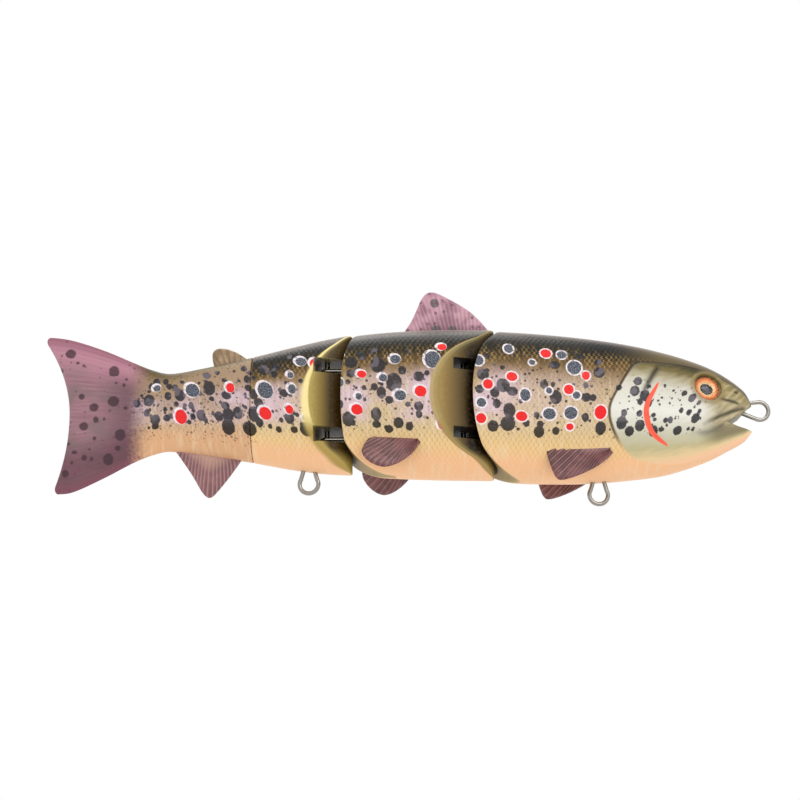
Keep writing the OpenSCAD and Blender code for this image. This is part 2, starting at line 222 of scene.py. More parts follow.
GIRTH_X = np.linspace(PIVOT_TAIL, 0, 345)
GIRTH_A = np.linspace(0, math.pi, 91)


def girth_table():
    x, a = np.meshgrid(GIRTH_X, GIRTH_A, indexing="ij")
    y, z = skin(x, a)
    step = np.hypot(np.diff(y, axis=1), np.diff(z, axis=1))
    return np.concatenate([np.zeros((len(GIRTH_X), 1)), np.cumsum(step, axis=1)], axis=1), z


GIRTH, GIRTH_Z = girth_table()


def girth_at(x, z):
    """Arc length from the belly line to height z at x, and the share of the way to the back.

    Past the tail bend, where the fin is flat, both go on by height alone."""
    at = np.maximum(x, PIVOT_TAIL)
    i = np.clip(np.searchsorted(GIRTH_X, at) - 1, 0, len(GIRTH_X) - 2)
    f = (at - GIRTH_X[i]) / (GIRTH_X[1] - GIRTH_X[0])
    out, whole, low, high = (np.zeros(len(x)) for _ in range(4))
    for row in np.unique(i):
        pick = i == row
        for k, weight in ((row, 1 - f[pick]), (row + 1, f[pick])):
            out[pick] += weight * np.interp(z[pick], GIRTH_Z[k], GIRTH[k])
            whole[pick] += weight * GIRTH[k][-1]
            low[pick] += weight * GIRTH_Z[k][0]
            high[pick] += weight * GIRTH_Z[k][-1]
    share = out / whole
    back, belly = (station_value(TAIL, np.minimum(x, TAIL[0, 0]), k) for k in (1, 2))
    level = np.clip((z - belly) / (back - belly), 0, 1)
    fin = smoothstep(-x, 162, 178)
    return out + z - np.clip(z, low, high), share + (level - share) * fin


# --- curves and distances ------------------------------------------------------------


def smooth_line(points, steps=8, closed=False):
    """Catmull-Rom curve through given points."""
    p = np.array(points, float)
    p = np.vstack([p[-1], p, p[:2]]) if closed else np.vstack([2 * p[0] - p[1], p, 2 * p[-1] - p[-2]])
    out = []
    for a, b, c, d in zip(p, p[1:], p[2:], p[3:]):
        for t in np.linspace(0, 1, steps, endpoint=False):
            out.append(0.5 * (2 * b + (c - a) * t + (2 * a - 5 * b + 4 * c - d) * t**2
                              + (3 * b - a - 3 * c + d) * t**3))
    if not closed:
        out.append(p[-2])
    return np.array(out)


def line_distance(points, line):
    """Distance from each point to a polyline, and the place along it from 0 to 1."""
    best = np.full(len(points), 1e9)
    place = np.zeros(len(points))
    for k, (a, b) in enumerate(zip(line, line[1:])):
        run = b - a
        t = np.clip(((points - a) @ run) / max(run @ run, 1e-12), 0, 1)
        d = np.linalg.norm(points - a - t[:, None] * run, axis=1)
        near = d < best
        best[near] = d[near]
        place[near] = (k + t[near]) / (len(line) - 1)
    return best, place


def region_distance(points, outline):
    """Signed distance to a closed outline, positive inside."""
    loop = np.vstack([outline, outline[:1]])
    d, _ = line_distance(points, loop)
    inside = np.zeros(len(points), bool)
    for a, b in zip(loop, loop[1:]):
        crosses = (a[1] > points[:, 1]) != (b[1] > points[:, 1])
        level = b[1] - a[1] if b[1] != a[1] else 1e-9
        inside ^= crosses & (points[:, 0] < a[0] + (b[0] - a[0]) * (points[:, 1] - a[1]) / level)
    return np.where(inside, d, -d)


# --- head lines, side view, x and z ---------------------------------------------------

GILL_COVER = smooth_line([
    (-31, 10), (-38, 9), (-43, 2), (-46, -5), (-44, -12), (-38, -18), (-24, -18), (-8, -12), (2, -6),
    (2, 2), (-8, 6), (-20, 9.5)], closed=True)
CHEEK_LINE = smooth_line([(-31, 9.5), (-34, 5), (-37, -1)])
SLASH = smooth_line([(-32, 3.5), (-35.5, -4), (-34, -10.5), (-29, -14)])
UPPER_JAW = smooth_line([(-4, 0), (-11, -3), (-18, -7)])
LOWER_JAW = smooth_line([(-11, -6), (-16, -9), (-21, -10)])
SNOUT_LINE = smooth_line([(-6.5, 0.4), (-10, 0.9), (-14, 1.1)])
NOSTRIL = (-7.6, 4)


def eye_and_nostril(x, z):
    """Distance from the middle of the eye, and 1 in the nostril."""
    nostril = np.hypot((x - NOSTRIL[0]) / 0.7, (z - NOSTRIL[1]) / 0.45)
    return np.hypot(x - EYE[0], (z - EYE[1]) * 1.06), bell(nostril, 1)


# --- spots, scattered by rule -----------------------------------------------------------

# Each kind of spot: how many, where along the fish, between which shares of the height, smallest and
# largest radius, and the clear space between two of the kind. Lengths are in millimetres.
SPOT_KINDS = {
    "red": dict(count=20, along=(-169, -48), level=(0.3, 0.84), size=(1.1, 1.9), space=4),
    "core": dict(count=27, along=(-176, -48), level=(0.34, 0.84), size=(0.9, 2.3), space=1.5),
    "dark": dict(count=150, along=(-182, -48), level=(0.26, 0.84), size=(0.4, 2.3), space=-0.8),
    "cheek": dict(count=48, along=(-44, -19), level=(0.28, 0.66), size=(0.28, 1.6), space=-0.2),
    "fin": dict(count=26, along=(-203, -183), level=(0.08, 0.92), size=(0.4, 1.9), space=0.8),
    "hind": dict(count=46, along=(-178, -124), level=(0.3, 0.9), size=(0.45, 1.7), space=-0.2),
}
SPOT_SEED = {RIGHT: 21, LEFT: 34}
TRIES = 60       # drops for each spot wanted
KIND_GAP = -0.3  # spots of two kinds may overlap by this much


def scatter(rng, kind, others):
    """Spots dropped one by one. Each is kept only if its gap to every one before it is wide enough."""
    found = []
    small, large = kind["size"]
    for _ in range(kind["count"] * TRIES):
        x = rng.uniform(*kind["along"])
        table = TAIL if x < PIVOT_TAIL else BODY
        back, belly = (float(station_value(table, np.array(x), k)) for k in (1, 2))
        z = belly + (back - belly) * rng.uniform(*kind["level"])
        r = small + (large - small) * rng.uniform() ** 1.5
        tall = r * rng.uniform(0.85, 1.3)
        rivals = [(f, kind["space"]) for f in found] + [(f, KIND_GAP) for f in others]
        if all(math.hypot(x - f[0], z - f[1]) > r + f[2] + gap for f, gap in rivals):
            found.append((x, z, r, tall))
        if len(found) == kind["count"]:
            break
    return found


def all_spots(seed):
    rng = np.random.default_rng(seed)
    out, others = {}, [(*EYE, EYE_CLEAR, EYE_CLEAR)]
    for name, kind in SPOT_KINDS.items():
        found = scatter(rng, kind, others)
        out[name] = np.array(found)
        others += found
    return out


def spot_distance(x, g, spots, grow=0.0, shift=0.0):
    """Signed distance, in millimetres, to the nearest spot's edge, negative inside."""
    best = np.full(len(x), 9.0)
    if not len(spots):
        return best
    sx, sz, rx, rg = spots.T
    sg, _ = girth_at(sx, sz)
    for px, pg, ax, ag in zip(sx - shift, sg + shift * 0.6, rx + grow, rg + grow):
        near = np.abs(x - px) < ax + 4
        d = np.hypot((x[near] - px) / ax, (g[near] - pg) / ag)
        best[near] = np.minimum(best[near], (d - 1) * min(ax, ag))
    return best


SCALE_LONG, SCALE_WIDE = 1.45, 1.15
SCALE_RISE = 0.075  # height of the relief


def scale_height(x, g):
    """Overlapping scales: each rises toward the tail and drops at a curved edge. From 0 to 1."""
    row = np.floor(g / SCALE_WIDE)
    across = 2 * (g / SCALE_WIDE - row) - 1
    t = -x / SCALE_LONG + 0.5 * np.mod(row, 2) + 0.3 * across**2
    saw = t - np.floor(t)
    return saw * (1 - smoothstep(saw, 0.82, 1.0)) * (1 - 0.35 * across**2)


# --- mesh making ---------------------------------------------------------------------


def merged(points, faces):
    """The same mesh with equal points made one and the collapsed faces dropped."""
    _, first, back = np.unique(np.round(points, 4), axis=0, return_index=True, return_inverse=True)
    back = back.ravel()
    out = []
    for face in faces:
        loop = [int(back[i]) for i in face]
        loop = [v for v, before in zip(loop, loop[-1:] + loop[:-1]) if v != before]
        if len(loop) > 2:
            out.append(loop)
    return points[first], out


def mesh_object(name, points, faces, to_place=TO_HEAD, smooth=True):
    points, faces = merged(np.asarray(points, float), faces)
    mesh = bpy.data.meshes.new(name)
    flat = points @ np.array(to_place.to_3x3()).T + np.array(to_place.translation)
    mesh.from_pydata([tuple(p) for p in flat * MM], [], faces)
    bm = bmesh.new()
    bm.from_mesh(mesh)
    bmesh.ops.recalc_face_normals(bm, faces=bm.faces)
    bm.to_mesh(mesh)
    bm.free()
    mesh.polygons.foreach_set("use_smooth", [smooth] * len(mesh.polygons))
    ob = bpy.data.objects.new(name, mesh)
    bpy.context.scene.collection.objects.link(ob)
    return ob


def grid_faces(rows, cols, start=0, wrap=False):
    """Quads of a grid of rows x cols points that begins at index start."""
    last = cols if wrap else cols - 1
    r, c = np.meshgrid(np.arange(rows - 1), np.arange(last), indexing="ij")
    a = start + r * cols + c
    b = start + r * cols + (c + 1) % cols
    return np.stack([a, b, b + cols, a + cols], axis=-1).reshape(-1, 4).tolist()


def cut(ob, cutter, operation="DIFFERENCE"):
    """Applies one exact boolean and removes the cutter."""
    mod = ob.modifiers.new("cut", "BOOLEAN")
    mod.operation, mod.object, mod.solver = operation, cutter, "EXACT"
    dg = bpy.context.evaluated_depsgraph_get()
    mesh = bpy.data.meshes.new_from_object(ob.evaluated_get(dg), depsgraph=dg)
    ob.modifiers.clear()
    old, ob.data = ob.data, mesh
    bpy.data.meshes.remove(old)
    bpy.data.objects.remove(cutter)
    mesh.name = ob.name


def positions(ob):
    co = np.empty(len(ob.data.vertices) * 3)
    ob.data.vertices.foreach_get("co", co)
    return co.reshape(-1, 3)


def attribute(ob, name, values):
    layer = ob.data.attributes.new(name, "FLOAT", "POINT")
    layer.data.foreach_set("value", np.asarray(values, np.float32))


def prism(name, outlines, half, to_place):
    """Outlines in x and z, each drawn out to both sides of the middle plane."""
    points, faces = [], []
    for outline in outlines:
        near, n = len(points), len(outline)
        far = near + n
        points += [(x, y, z) for y in (-half, half) for x, z in outline]
        faces += [[*range(near, far)], [*range(far + n - 1, far - 1, -1)]]
        faces += [[near + i, near + (i + 1) % n, far + (i + 1) % n, far + i] for i in range(n)]
    return mesh_object(name, points, faces, to_place, smooth=False)


def straight(ob, to_place):
    """Vertex places of a piece in the straight fish, in millimetres."""
    back = np.array(to_place.inverted())
    return (positions(ob) / MM) @ back[:3, :3].T + back[:3, 3]


def grid_normals(p):
    n = np.cross(np.gradient(p, axis=0), np.gradient(p, axis=1))
    n[:, 0, 1] = n[:, -1, 1] = 0
    return n / np.maximum(np.linalg.norm(n, axis=2, keepdims=True), 1e-9)


# --- relief --------------------------------------------------------------------------

# Grooves of the head: the line, its depth and its width.
GROOVES = ((CHEEK_LINE, 0.35, 0.5), (SLASH, 0.4, 0.9), (UPPER_JAW, 0.45, 0.5), (LOWER_JAW, 0.4, 0.5))


def groove(points, line, deep, wide):
    d, place = line_distance(points, line)
    ends = smoothstep(place, 0, 0.12) * (1 - smoothstep(place, 0.85, 1))
    return -deep * bell(d, wide) * ends


def body_relief(x, g, share, z, ends):
    """Height of the skin above the smooth body: scales, gill covers, jaw lines and eye sockets."""
    side = np.stack([x, z], axis=1)
    scales = smoothstep(-x, 38, 44)
    height = SCALE_RISE * scale_height(x, g) * scales * smoothstep(share, 0.03, 0.12)
    head = x > -50
    near, back, level = side[head], -x[head], share[head]
    cover = region_distance(near, GILL_COVER)
    extra = 0.5 * smoothstep(cover, -0.45, 0.2) * smoothstep(back, 22, 34)
    extra *= smoothstep(level, 0.14, 0.34) * smoothstep(-level, -0.97, -0.8)
    extra += 0.3 * smoothstep(cover, 0.0, 3.2) * smoothstep(back, 26, 36) * smoothstep(level, 0.1, 0.3)
    for line, deep, wide in GROOVES:
        extra += groove(near, line, deep, wide)
    r, nostril = eye_and_nostril(*near.T)
    extra += 0.42 * bell(r - 4.65, 0.6) - 0.12 * bell(r - 6.3, 0.9)
    extra -= EYE_DEEP * (1 - smoothstep(r, 3.5, 4.1)) + 0.35 * nostril
    height[head] += extra
    return height * ends


# --- half shells ---------------------------------------------------------------------

SKIN_CELL = 0.27
HALF_GIRTH = 60    # more than the way from belly to back round the thickest section
FACE_ROWS = 15
RELIEF_FADE = 0.8  # the relief fades to nothing over this distance before a rim
RIM_R = 0.6
RIM_STEPS = 5
ROUNDS = 60        # enough for the search below to settle


def meet(surface, angle, guess, table=BODY):
    """x where the skin at each angle meets a front or back surface."""
    x = np.full(len(angle), float(guess))
    for _ in range(ROUNDS):
        x = 0.6 * x + 0.4 * surface(*skin(x, angle, table))
    return x


def end_columns(surface, x_edge, inward, angle, rim_r):
    """A rounded rim and then the end surface, as columns from the skin to the middle plane."""
    out = []
    for t in np.linspace(0, math.pi / 2, RIM_STEPS + 1)[1:]:
        x = x_edge + inward * rim_r * (1 - math.sin(t))
        y, z = skin(x, angle)
        ny, nz = np.gradient(z), -np.gradient(y)
        ny[0] = ny[-1] = 0
        size = np.hypot(ny, nz)
        inset = rim_r * (1 - math.cos(t))
        y, z = np.maximum(y - inset * ny / size, 0), z - inset * nz / size
        out.append(np.stack([surface(y, z) + inward * rim_r * (1 - math.sin(t)), y, z], axis=1))
    _, y, z = out[-1].T
    for t in np.linspace(1, 0, FACE_ROWS)[1:]:
        out.append(np.stack([surface(y * t, z), y * t, z], axis=1))
    return out


def snout_columns(last):
    """A low dome that closes the front of the snout."""
    middle = np.array([last[0, 0], 0, (last[0, 2] + last[-1, 2]) / 2])
    out = []
    for t in np.linspace(1, 0, 9)[1:]:
        ring = middle + (last - middle) * t
        ring[:, 0] = last[0, 0] + 0.9 * math.sqrt(1 - t * t)
        out.append(ring)
    return out


def half_shell(name, side, front, back, span, to_place, rim_back=RIM_R):
    """One half of a segment, closed by a flat face on the middle plane."""
    rows = int(HALF_GIRTH / SKIN_CELL)
    angle = np.linspace(0, math.pi, rows)
    x_back = meet(back, angle, span[1])
    x_front = meet(front, angle, span[0]) if front else np.full(rows, span[0])
    x0 = x_front - (RIM_R if front else 0)
    x1 = x_back + rim_back
    cols = int((span[0] - span[1]) / SKIN_CELL)
    along = np.linspace(0, 1, cols)
    if not front:
        along = 0.6 * along + 0.4 * along**2.2  # closer rows on the snout
    p = np.empty((cols, rows, 3))
    for k, t in enumerate(along):
        x = x0 + (x1 - x0) * t
        y, z = skin(x, angle)
        p[k] = np.stack([x, y, z], axis=1)
    x, z = p[:, :, 0].ravel(), p[:, :, 2].ravel()
    g, share = girth_at(x, z)
    from_back = (p[:, :, 0] - x1).ravel()
    ends = smoothstep(from_back, 0, RELIEF_FADE)
    if front:
        ends *= smoothstep((x0 - p[:, :, 0]).ravel(), 0, RELIEF_FADE)
    p += grid_normals(p) * body_relief(x, g, share, z, ends).reshape(cols, rows, 1)
    columns = list(p) + end_columns(back, x_back, 1, angle, rim_back)
    if front:
        columns = end_columns(front, x_front, -1, angle, RIM_R)[::-1] + columns
    else:
        columns = snout_columns(p[0])[::-1] + columns
    n = len(columns)
    points = np.concatenate(columns) * (1, side, 1)
    ring = ([k * rows for k in range(n)] + [(n - 1) * rows + j for j in range(1, rows - 1)]
            + [k * rows + rows - 1 for k in range(n - 1, -1, -1)] + [*range(rows - 2, 0, -1)])
    return mesh_object(name, points, grid_faces(n, rows) + [ring], to_place)


def slot_outlines(pivot, hinge):
    """Side view of the two square slots across a nose."""
    half = hinge[4] / 2
    back, front = pivot - SLOT_BEHIND_PIN, pivot + SLOT_REACH
    return [[(back, z - half), (front, z - half), (front, z + half), (back, z + half)] for z in SLOT_Z]


# --- paint fields --------------------------------------------------------------------

FAR = 9.0           # a distance that no paint reaches
HEAD_END = -88      # behind here the pale rings are thicker on one side
RING_SHIFT = 0.32
RINGS = {"red": 0.4, "core": 0.45}  # width of the pale ring round each kind of spot
# Painted lines of the head: the line, its width and how dark it is.
HEAD_LINES = ((CHEEK_LINE, 0.85, 1), (UPPER_JAW, 0.6, 0.9), (LOWER_JAW, 0.9, 0.45), (SNOUT_LINE, 0.5, 1))
NOISE_APART = 20.0  # keeps the paint noise of the two sides apart


def off_skin(x, y, z, table=BODY):
    """How far a point lies inside the skin, along a line from the middle of its section."""
    back, belly, width = (station_value(table, x, k) for k in (1, 2, 3))
    widest = (back + belly) / 2 + WIDEST_LIFT * (back - belly)
    reach = np.where(z > widest, back - widest, widest - belly)
    power = 2 / SECTION_POWER
    size = (np.abs(y) / width) ** power + (np.abs(z - widest) / reach) ** power
    return (1 - size ** (1 / power)) * np.hypot(y, z - widest)


SPOTS = {side: all_spots(seed) for side, seed in SPOT_SEED.items()}


def rim_distance(front, x, z):
    """How far behind the rim of a segment's front a point of the flank lies."""
    angle = np.linspace(0, math.pi, 181)
    rim_x = meet(front, angle, np.max(x))
    _, rim_z = skin(rim_x, angle)
    return np.interp(z, rim_z, rim_x) - x


def spot_fields(x, g, side, tail):
    """Distances to the edges of the spots and of their rings, each side with its own spots."""
    fields = {n: np.full(len(x), FAR) for n in ("dark", "core", "halo", "red", "fin_dark")}
    for which, kinds in SPOTS.items():
        pick = side == which
        at = x[pick], g[pick]
        groups = {"red": kinds["red"], "core": kinds["core"]}
        groups["dark"] = np.concatenate([kinds[n] for n in ("dark", "cheek", "hind")])
        if tail:
            groups["fin_dark"] = kinds["fin"]
        for name, spots in groups.items():
            fields[name][pick] = spot_distance(*at, spots)
        halo = np.full(pick.sum(), FAR)
        for name, grow in RINGS.items():
            ahead = kinds[name][:, 0] > HEAD_END
            for some, shift in ((kinds[name][ahead], 0.0), (kinds[name][~ahead], RING_SHIFT)):
                halo = np.minimum(halo, spot_distance(*at, some, grow, shift))
        fields["halo"][pick] = halo
    return fields


def head_fields(x, z):
    """The gill cover, the coral slash, the mouth and the dark lines of the head."""
    near = np.stack([x, z], axis=1)
    r, nostril = eye_and_nostril(x, z)
    lines = np.maximum(bell(r - 4.1, 0.3), nostril)
    for line, wide, dark in HEAD_LINES:
        d, place = line_distance(near, line)
        fade = smoothstep(place, 0, 0.15) * (1 - 0.7 * smoothstep(place, 0.7, 1))
        lines = np.maximum(lines, dark * bell(d, wide) * fade)
    d, place = line_distance(near, SLASH)
    slash = 0.85 * np.sin(math.pi * np.clip(place * 0.94 + 0.03, 0, 1)) ** 0.5 - d
    gill = np.clip(region_distance(near, GILL_COVER), -6, 6)
    mouth = region_distance(near, np.array(MOUTH))
    return {"lines": lines, "lid": bell(r - 4.8, 0.7), "gill": gill, "slash": slash, "mouth": mouth}


def paint_fields(ob, to_place, tail=False, front=None, lip=0.0):
    """Stores on each vertex the distances and places that the paint is mixed from.

    A bare lip runs behind the front rim. It is wide low on the flank and narrows toward the back."""
    x, y, z = straight(ob, to_place).T
    g, share = girth_at(x, z)
    fields = spot_fields(x, g, np.where(y >= 0, LEFT, RIGHT), tail)
    fields.update(fish_x=x, girth=g, share=share)
    if to_place is TO_HEAD:
        fields.update(head_fields(x, z))
    if not tail:
        inside = off_skin(x, y, z)
        ends = smoothstep(-x, 50, 56) if to_place is TO_HEAD else 1.0
        fields["face"] = smoothstep(inside, 0.12, 0.32) * ends
        # rim marks the rounded rim, which the paint lightens as a painted highlight
        fields["rim"] = bell(inside - 0.4, 0.25) * ends
        fields["face_y"] = np.abs(y) / station_value(BODY, x, 3)
    if front:
        wide = 0.05 + lip * (1 - share) * smoothstep(share, 0, 0.12)
        fields["lip"] = 1 - smoothstep(rim_distance(front, x, z), 0.45 * wide, wide)
    for name, values in fields.items():
        attribute(ob, name, values)


# --- soft tail -----------------------------------------------------------------------

FIN_HOLLOW = (-200.2, -2)   # x and height of the deepest point of the hollow rear edge
FIN_SWEEP = (0.0146, 0.0085)  # how fast the upper and lower lobes sweep back
FIN_TIPS = (21.4, -25.8)
TIP_R = 2.6
TAIL_RIM = 0.35


def fin_edge(y, z):
    """x of the rear edge: two parabolas that meet in the hollow, rounded off at the tips."""
    x, level = FIN_HOLLOW
    rise = z - level
    edge = x - np.where(rise > 0, *FIN_SWEEP) * rise**2
    for tip in FIN_TIPS:
        near = np.clip(1 - np.abs(z - tip) / TIP_R, 0, 1)
        edge = edge + TIP_R * (1 - np.sqrt(np.maximum(1 - near**2, 0)))
    return edge


def tail_body():
    """Points and faces of the sleeve that runs out into the tail fin."""
    rows, cols = 176, 200
    angle = np.linspace(0, math.pi, rows)
    angle += 0.12 * np.sin(2 * angle)
    x_end = meet(fin_edge, angle, -203, TAIL)
    start = SEAM_X - 0.12 - TAIL_RIM
    p = np.empty((cols, rows, 3))
    for k, t in enumerate(np.linspace(0, 1, cols)):
        x = start + (x_end - start) * t
        y, z = skin(x, angle, TAIL)
        p[k] = np.stack([x, y, z], axis=1)
    share_row = (p[-1, :, 2] - p[-1, 0, 2]) / (p[-1, -1, 2] - p[-1, 0, 2])
    x, z = p[:, :, 0], p[:, :, 2]
    g, share = girth_at(x.ravel(), z.ravel())
    scales = SCALE_RISE * scale_height(x.ravel(), g).reshape(cols, rows)
    scales *= smoothstep(x, -176, -168) * smoothstep(SEAM_X - x, 0.5, 1.5)
    level = share.reshape(cols, rows)
    scales *= smoothstep(level, 0.03, 0.12) * smoothstep(1 - level, 0.03, 0.12)
    fin = smoothstep(-x, 180, 190)
    rays = 0.07 * np.cos(2 * math.pi * 30 * share_row)[None, :] * fin
    edge = np.minimum(share_row, 1 - share_row)[None, :]
    lobes = -0.1 * bell(edge - 0.09, 0.012) - 0.07 * bell(edge - 0.16, 0.01)
    p += grid_normals(p) * (scales + rays + lobes * smoothstep(-x, 184, 192))[:, :, None]
    p[:, :, 1] = np.maximum(p[:, :, 1], 0)
    p[:, [0, -1], 1] = 0
    columns = list(p)
    for t in np.linspace(0, math.pi / 2, 4)[1:]:
        tuck = 1 - math.cos(t)
        ring = p[0].copy()
        ring[:, 0] += TAIL_RIM * math.sin(t)
        ring[:, 1] = np.maximum(ring[:, 1] - TAIL_RIM * tuck, 0)
        ring[:, 2] += (MID_Z - ring[:, 2]) * 0.03 * tuck
        columns.insert(0, ring)
    rim = columns[0]
    for t in np.linspace(1, 0, 6)[1:]:
        columns.insert(0, rim * (1, t, 1))
    last = columns[-1]
    for t in (0.7, 0.3, 0):
        ring = last * (1, t, 1)
        ring[:, 0] -= 0.3 * (1 - t)
        columns.append(ring)
    half = np.concatenate(columns)
    faces = grid_faces(len(columns), rows) + grid_faces(len(columns), rows, len(half))
    return np.concatenate([half, half * (1, -1, 1)]), faces


def fan(base, margin, thick, rays, depth, skew=1.0, per_ray=7, steps=30):
    """Points and faces of a fin: rays run from the base line to the margin and the edges are thin."""
    line = smooth_line(margin, 12)
    run = np.concatenate([[0], np.cumsum(np.linalg.norm(np.diff(line, axis=0), axis=1))])
    u = np.linspace(0, 1, rays * per_ray + 1)
    out = np.stack([np.interp(u * run[-1], run, line[:, k]) for k in (0, 1)], axis=1)
    base = np.array(base, float)
    root = base[0] + (base[1] - base[0]) * (u**skew)[:, None]
    v = np.linspace(0, 1, steps)
    flat = root[:, None] + (out - root)[:, None] * v[None, :, None]
    edge = np.minimum(np.minimum(u, 1 - u)[:, None] / 0.05, (1 - v)[None, :] / 0.07)
    half = thick / 2 * (1 - 0.45 * v)[None, :] * np.sqrt(np.clip(edge, 0, 1))
    ridge = 1 + depth * np.cos(2 * math.pi * rays * u)[:, None] * smoothstep(v, 0.1, 0.3)[None, :]
    half = half * ridge
    half[0] = half[-1] = half[:, 0] = half[:, -1] = 0
    n = len(u) * steps
    points = []
    for side in (1, -1):
        points.append(np.stack([flat[..., 0], side * half, flat[..., 1]], axis=-1).reshape(-1, 3))
    faces = grid_faces(len(u), steps) + grid_faces(len(u), steps, n)
    marks = {"ray": np.repeat(u * rays, steps), "out": np.tile(v, len(u))}
    return np.concatenate(points), faces, {k: np.concatenate([m, m]) for k, m in marks.items()}


def fin_object(name, points, faces, marks, to_place):
    """A fin as one closed piece. Its marks follow its points when equal ones are merged."""
    _, first = np.unique(np.round(points, 4), axis=0, return_index=True)
    ob = mesh_object(name, points, faces, to_place)
    for key, values in marks.items():
        attribute(ob, key, values[first])
    return ob


DORSAL = dict(base=[(-80.2, 18.2), (-102.2, 18.2)], thick=1.5, rays=22, depth=0.1, skew=1.15, margin=[
    (-79.2, 20.2), (-81.6, 23.2), (-85, 26.4), (-89.4, 29.2), (-93.6, 31.4), (-95.6, 31.9), (-97.2, 31.4),
    (-98.6, 29.6), (-99.6, 27.2), (-101.3, 23.4), (-103.4, 20)])
PECTORAL = dict(base=[(-45.6, -1.6), (-63.2, -1.6)], thick=1.5, rays=16, depth=0.22, skew=2.6, margin=[
    (-44.8, 0), (-46, 1.4), (-49, 4), (-53, 6.4), (-57, 8.2), (-60, 9), (-61.4, 8.4), (-62.6, 6),
    (-63.6, 2.6), (-64.2, 0)])
PELVIC = dict(base=[(-99.4, -1.6), (-113.4, -1.6)], thick=1.5, rays=16, depth=0.22, skew=2.8, margin=[
    (-98.8, 0.6), (-101.6, 5.6), (-105.4, 9.4), (-109.2, 10.9), (-112.6, 9.4), (-115, 6.4), (-115.5, 3.4),
    (-114.2, 0)])
ADIPOSE = dict(base=[(-149.6, 10.4), (-157.6, 9.2)], thick=1.7, rays=7, depth=0.14, per_ray=9, margin=[
    (-148.6, 12.6), (-152, 14.9), (-155.4, 16.2), (-157.6, 16.1), (-158.8, 15), (-158.9, 13.2),
    (-158.4, 10.6)])
ANAL = dict(base=[(-151, -14.4), (-168.4, -12.2)], thick=1.5, rays=19, depth=0.2, margin=[
    (-150, -17.2), (-153.6, -22.2), (-157, -26.4), (-158.8, -28.1), (-160.2, -28), (-161.8, -26.2),
    (-164.4, -21.6), (-167.4, -17), (-169.6, -13.8)])
PECTORAL_ROOT = (9.6, -17, 7)
PELVIC_ROOT = (9.6, -15.2, 32)


def paired(side, root):
    """Places a fin drawn upward from its root so that it hangs from one side of the belly."""
    splay = math.radians(180 + root[2])
    place = Matrix.Translation((0, root[0], root[1])) @ Matrix.Rotation(splay, 4, "X")
    return Matrix.Diagonal((1, side, 1, 1)) @ place


def placed(points, matrix):
    m = np.array(matrix)
    return points @ m[:3, :3].T + m[:3, 3]


# --- wire and eyes -------------------------------------------------------------------


def tube(name, path, r, to_place, sides=20):
    """A round wire along a path in the plane y = 0, with domed ends."""
    path = np.array(path, float)
    along = np.gradient(path, axis=0)
    along /= np.linalg.norm(along, axis=1, keepdims=True)
    turn = np.linspace(0, 2 * math.pi, sides, endpoint=False)[:, None]
    dome = (1, 0.92, 0.7, 0.4)
    stops = [(0, -t) for t in dome] + [(k, 0) for k in range(len(path))] + [(-1, t) for t in dome[::-1]]
    rings = []
    for k, t in stops:
        across = np.array([-along[k, 2], 0, along[k, 0]])
        ring = np.cos(turn) * across + np.sin(turn) * (0, 1, 0)
        rings.append(path[k] + along[k] * r * t + r * math.sqrt(1 - t * t) * ring)
    return mesh_object(name, np.concatenate(rings), grid_faces(len(rings), sides, wrap=True), to_place)


def arc(r, start, stop, steps=40):
    a = np.radians(np.linspace(start, stop, steps))
    return np.stack([r * np.cos(a), 0 * a, r * np.sin(a)], axis=1)


def hanger_path(at):
    """A drop-shaped loop that hangs from two legs set in the belly."""
    bend_r, apex, spread = 2.7, 6.5, 0.63
    lean = math.degrees(math.acos(bend_r / math.hypot(apex, spread)) - math.atan2(spread, apex))
    bend = arc(bend_r, 90 + lean, 450 - lean)
    legs = np.array([(-spread, 0, 9.9), (-spread, 0, 8.2), (-spread - 0.05, 0, 7), (-spread - 0.45, 0, 5.7)])
    path = np.vstack([legs, bend, legs[::-1] * (-1, 1, 1)])
    return smooth_line(path, 4) + np.array([at[0], 0, at[1]])


def line_tie_path():
    """A U in front of the nose. Its legs come together inside the upper jaw."""
    low_lean, high_lean = math.radians(20), math.radians(8)
    bend = arc(2.65, -110, 98)
    upper = bend[-1] - 10.4 * np.array([math.cos(high_lean), 0, math.sin(high_lean)])
    lower = bend[0] - 8.4 * np.array([math.cos(low_lean), 0, -math.sin(low_lean)])
    return np.vstack([lower, (lower + bend[0]) / 2, bend, (bend[-1] + upper) / 2, upper])


def eye_place(side):
    """Looks out of the eye along +Z."""
    x, z = EYE
    back, belly, width = (float(station_value(BODY, np.array(x), k)) for k in (1, 2, 3))
    lift = (z - (back + belly) / 2) / ((back - belly) / 2)
    place = Matrix.Translation((x, width * math.sqrt(1 - lift * lift), z))
    place = place @ Matrix.Rotation(math.radians(-16), 4, "Z") @ Matrix.Rotation(math.radians(-78), 4, "X")
    return Matrix.Diagonal((1, side, 1, 1)) @ place


def lathe(name, profile, place, sides=96):
    """A turned piece about Z from (radius, height) pairs that start and end on the axis."""
    turn = np.linspace(0, 2 * math.pi, sides, endpoint=False)
    points = np.concatenate([np.stack([r * np.cos(turn), r * np.sin(turn), np.full(sides, h)], axis=1)
                             for r, h in profile])
    ob = mesh_object(name, placed(points, place), grid_faces(len(profile), sides, wrap=True), TO_HEAD)
    x, y, _ = placed(straight(ob, TO_HEAD), place.inverted()).T
    attribute(ob, "eye_r", np.hypot(x, y))
    attribute(ob, "eye_turn", np.arctan2(y, x))
    return ob


# --- materials -----------------------------------------------------------------------


def rgb(*display):
    """Display colour to the linear colour a shader takes."""
    return tuple(c / 12.92 if c <= 0.04045 else ((c + 0.055) / 1.055) ** 2.4 for c in display) + (1.0,)


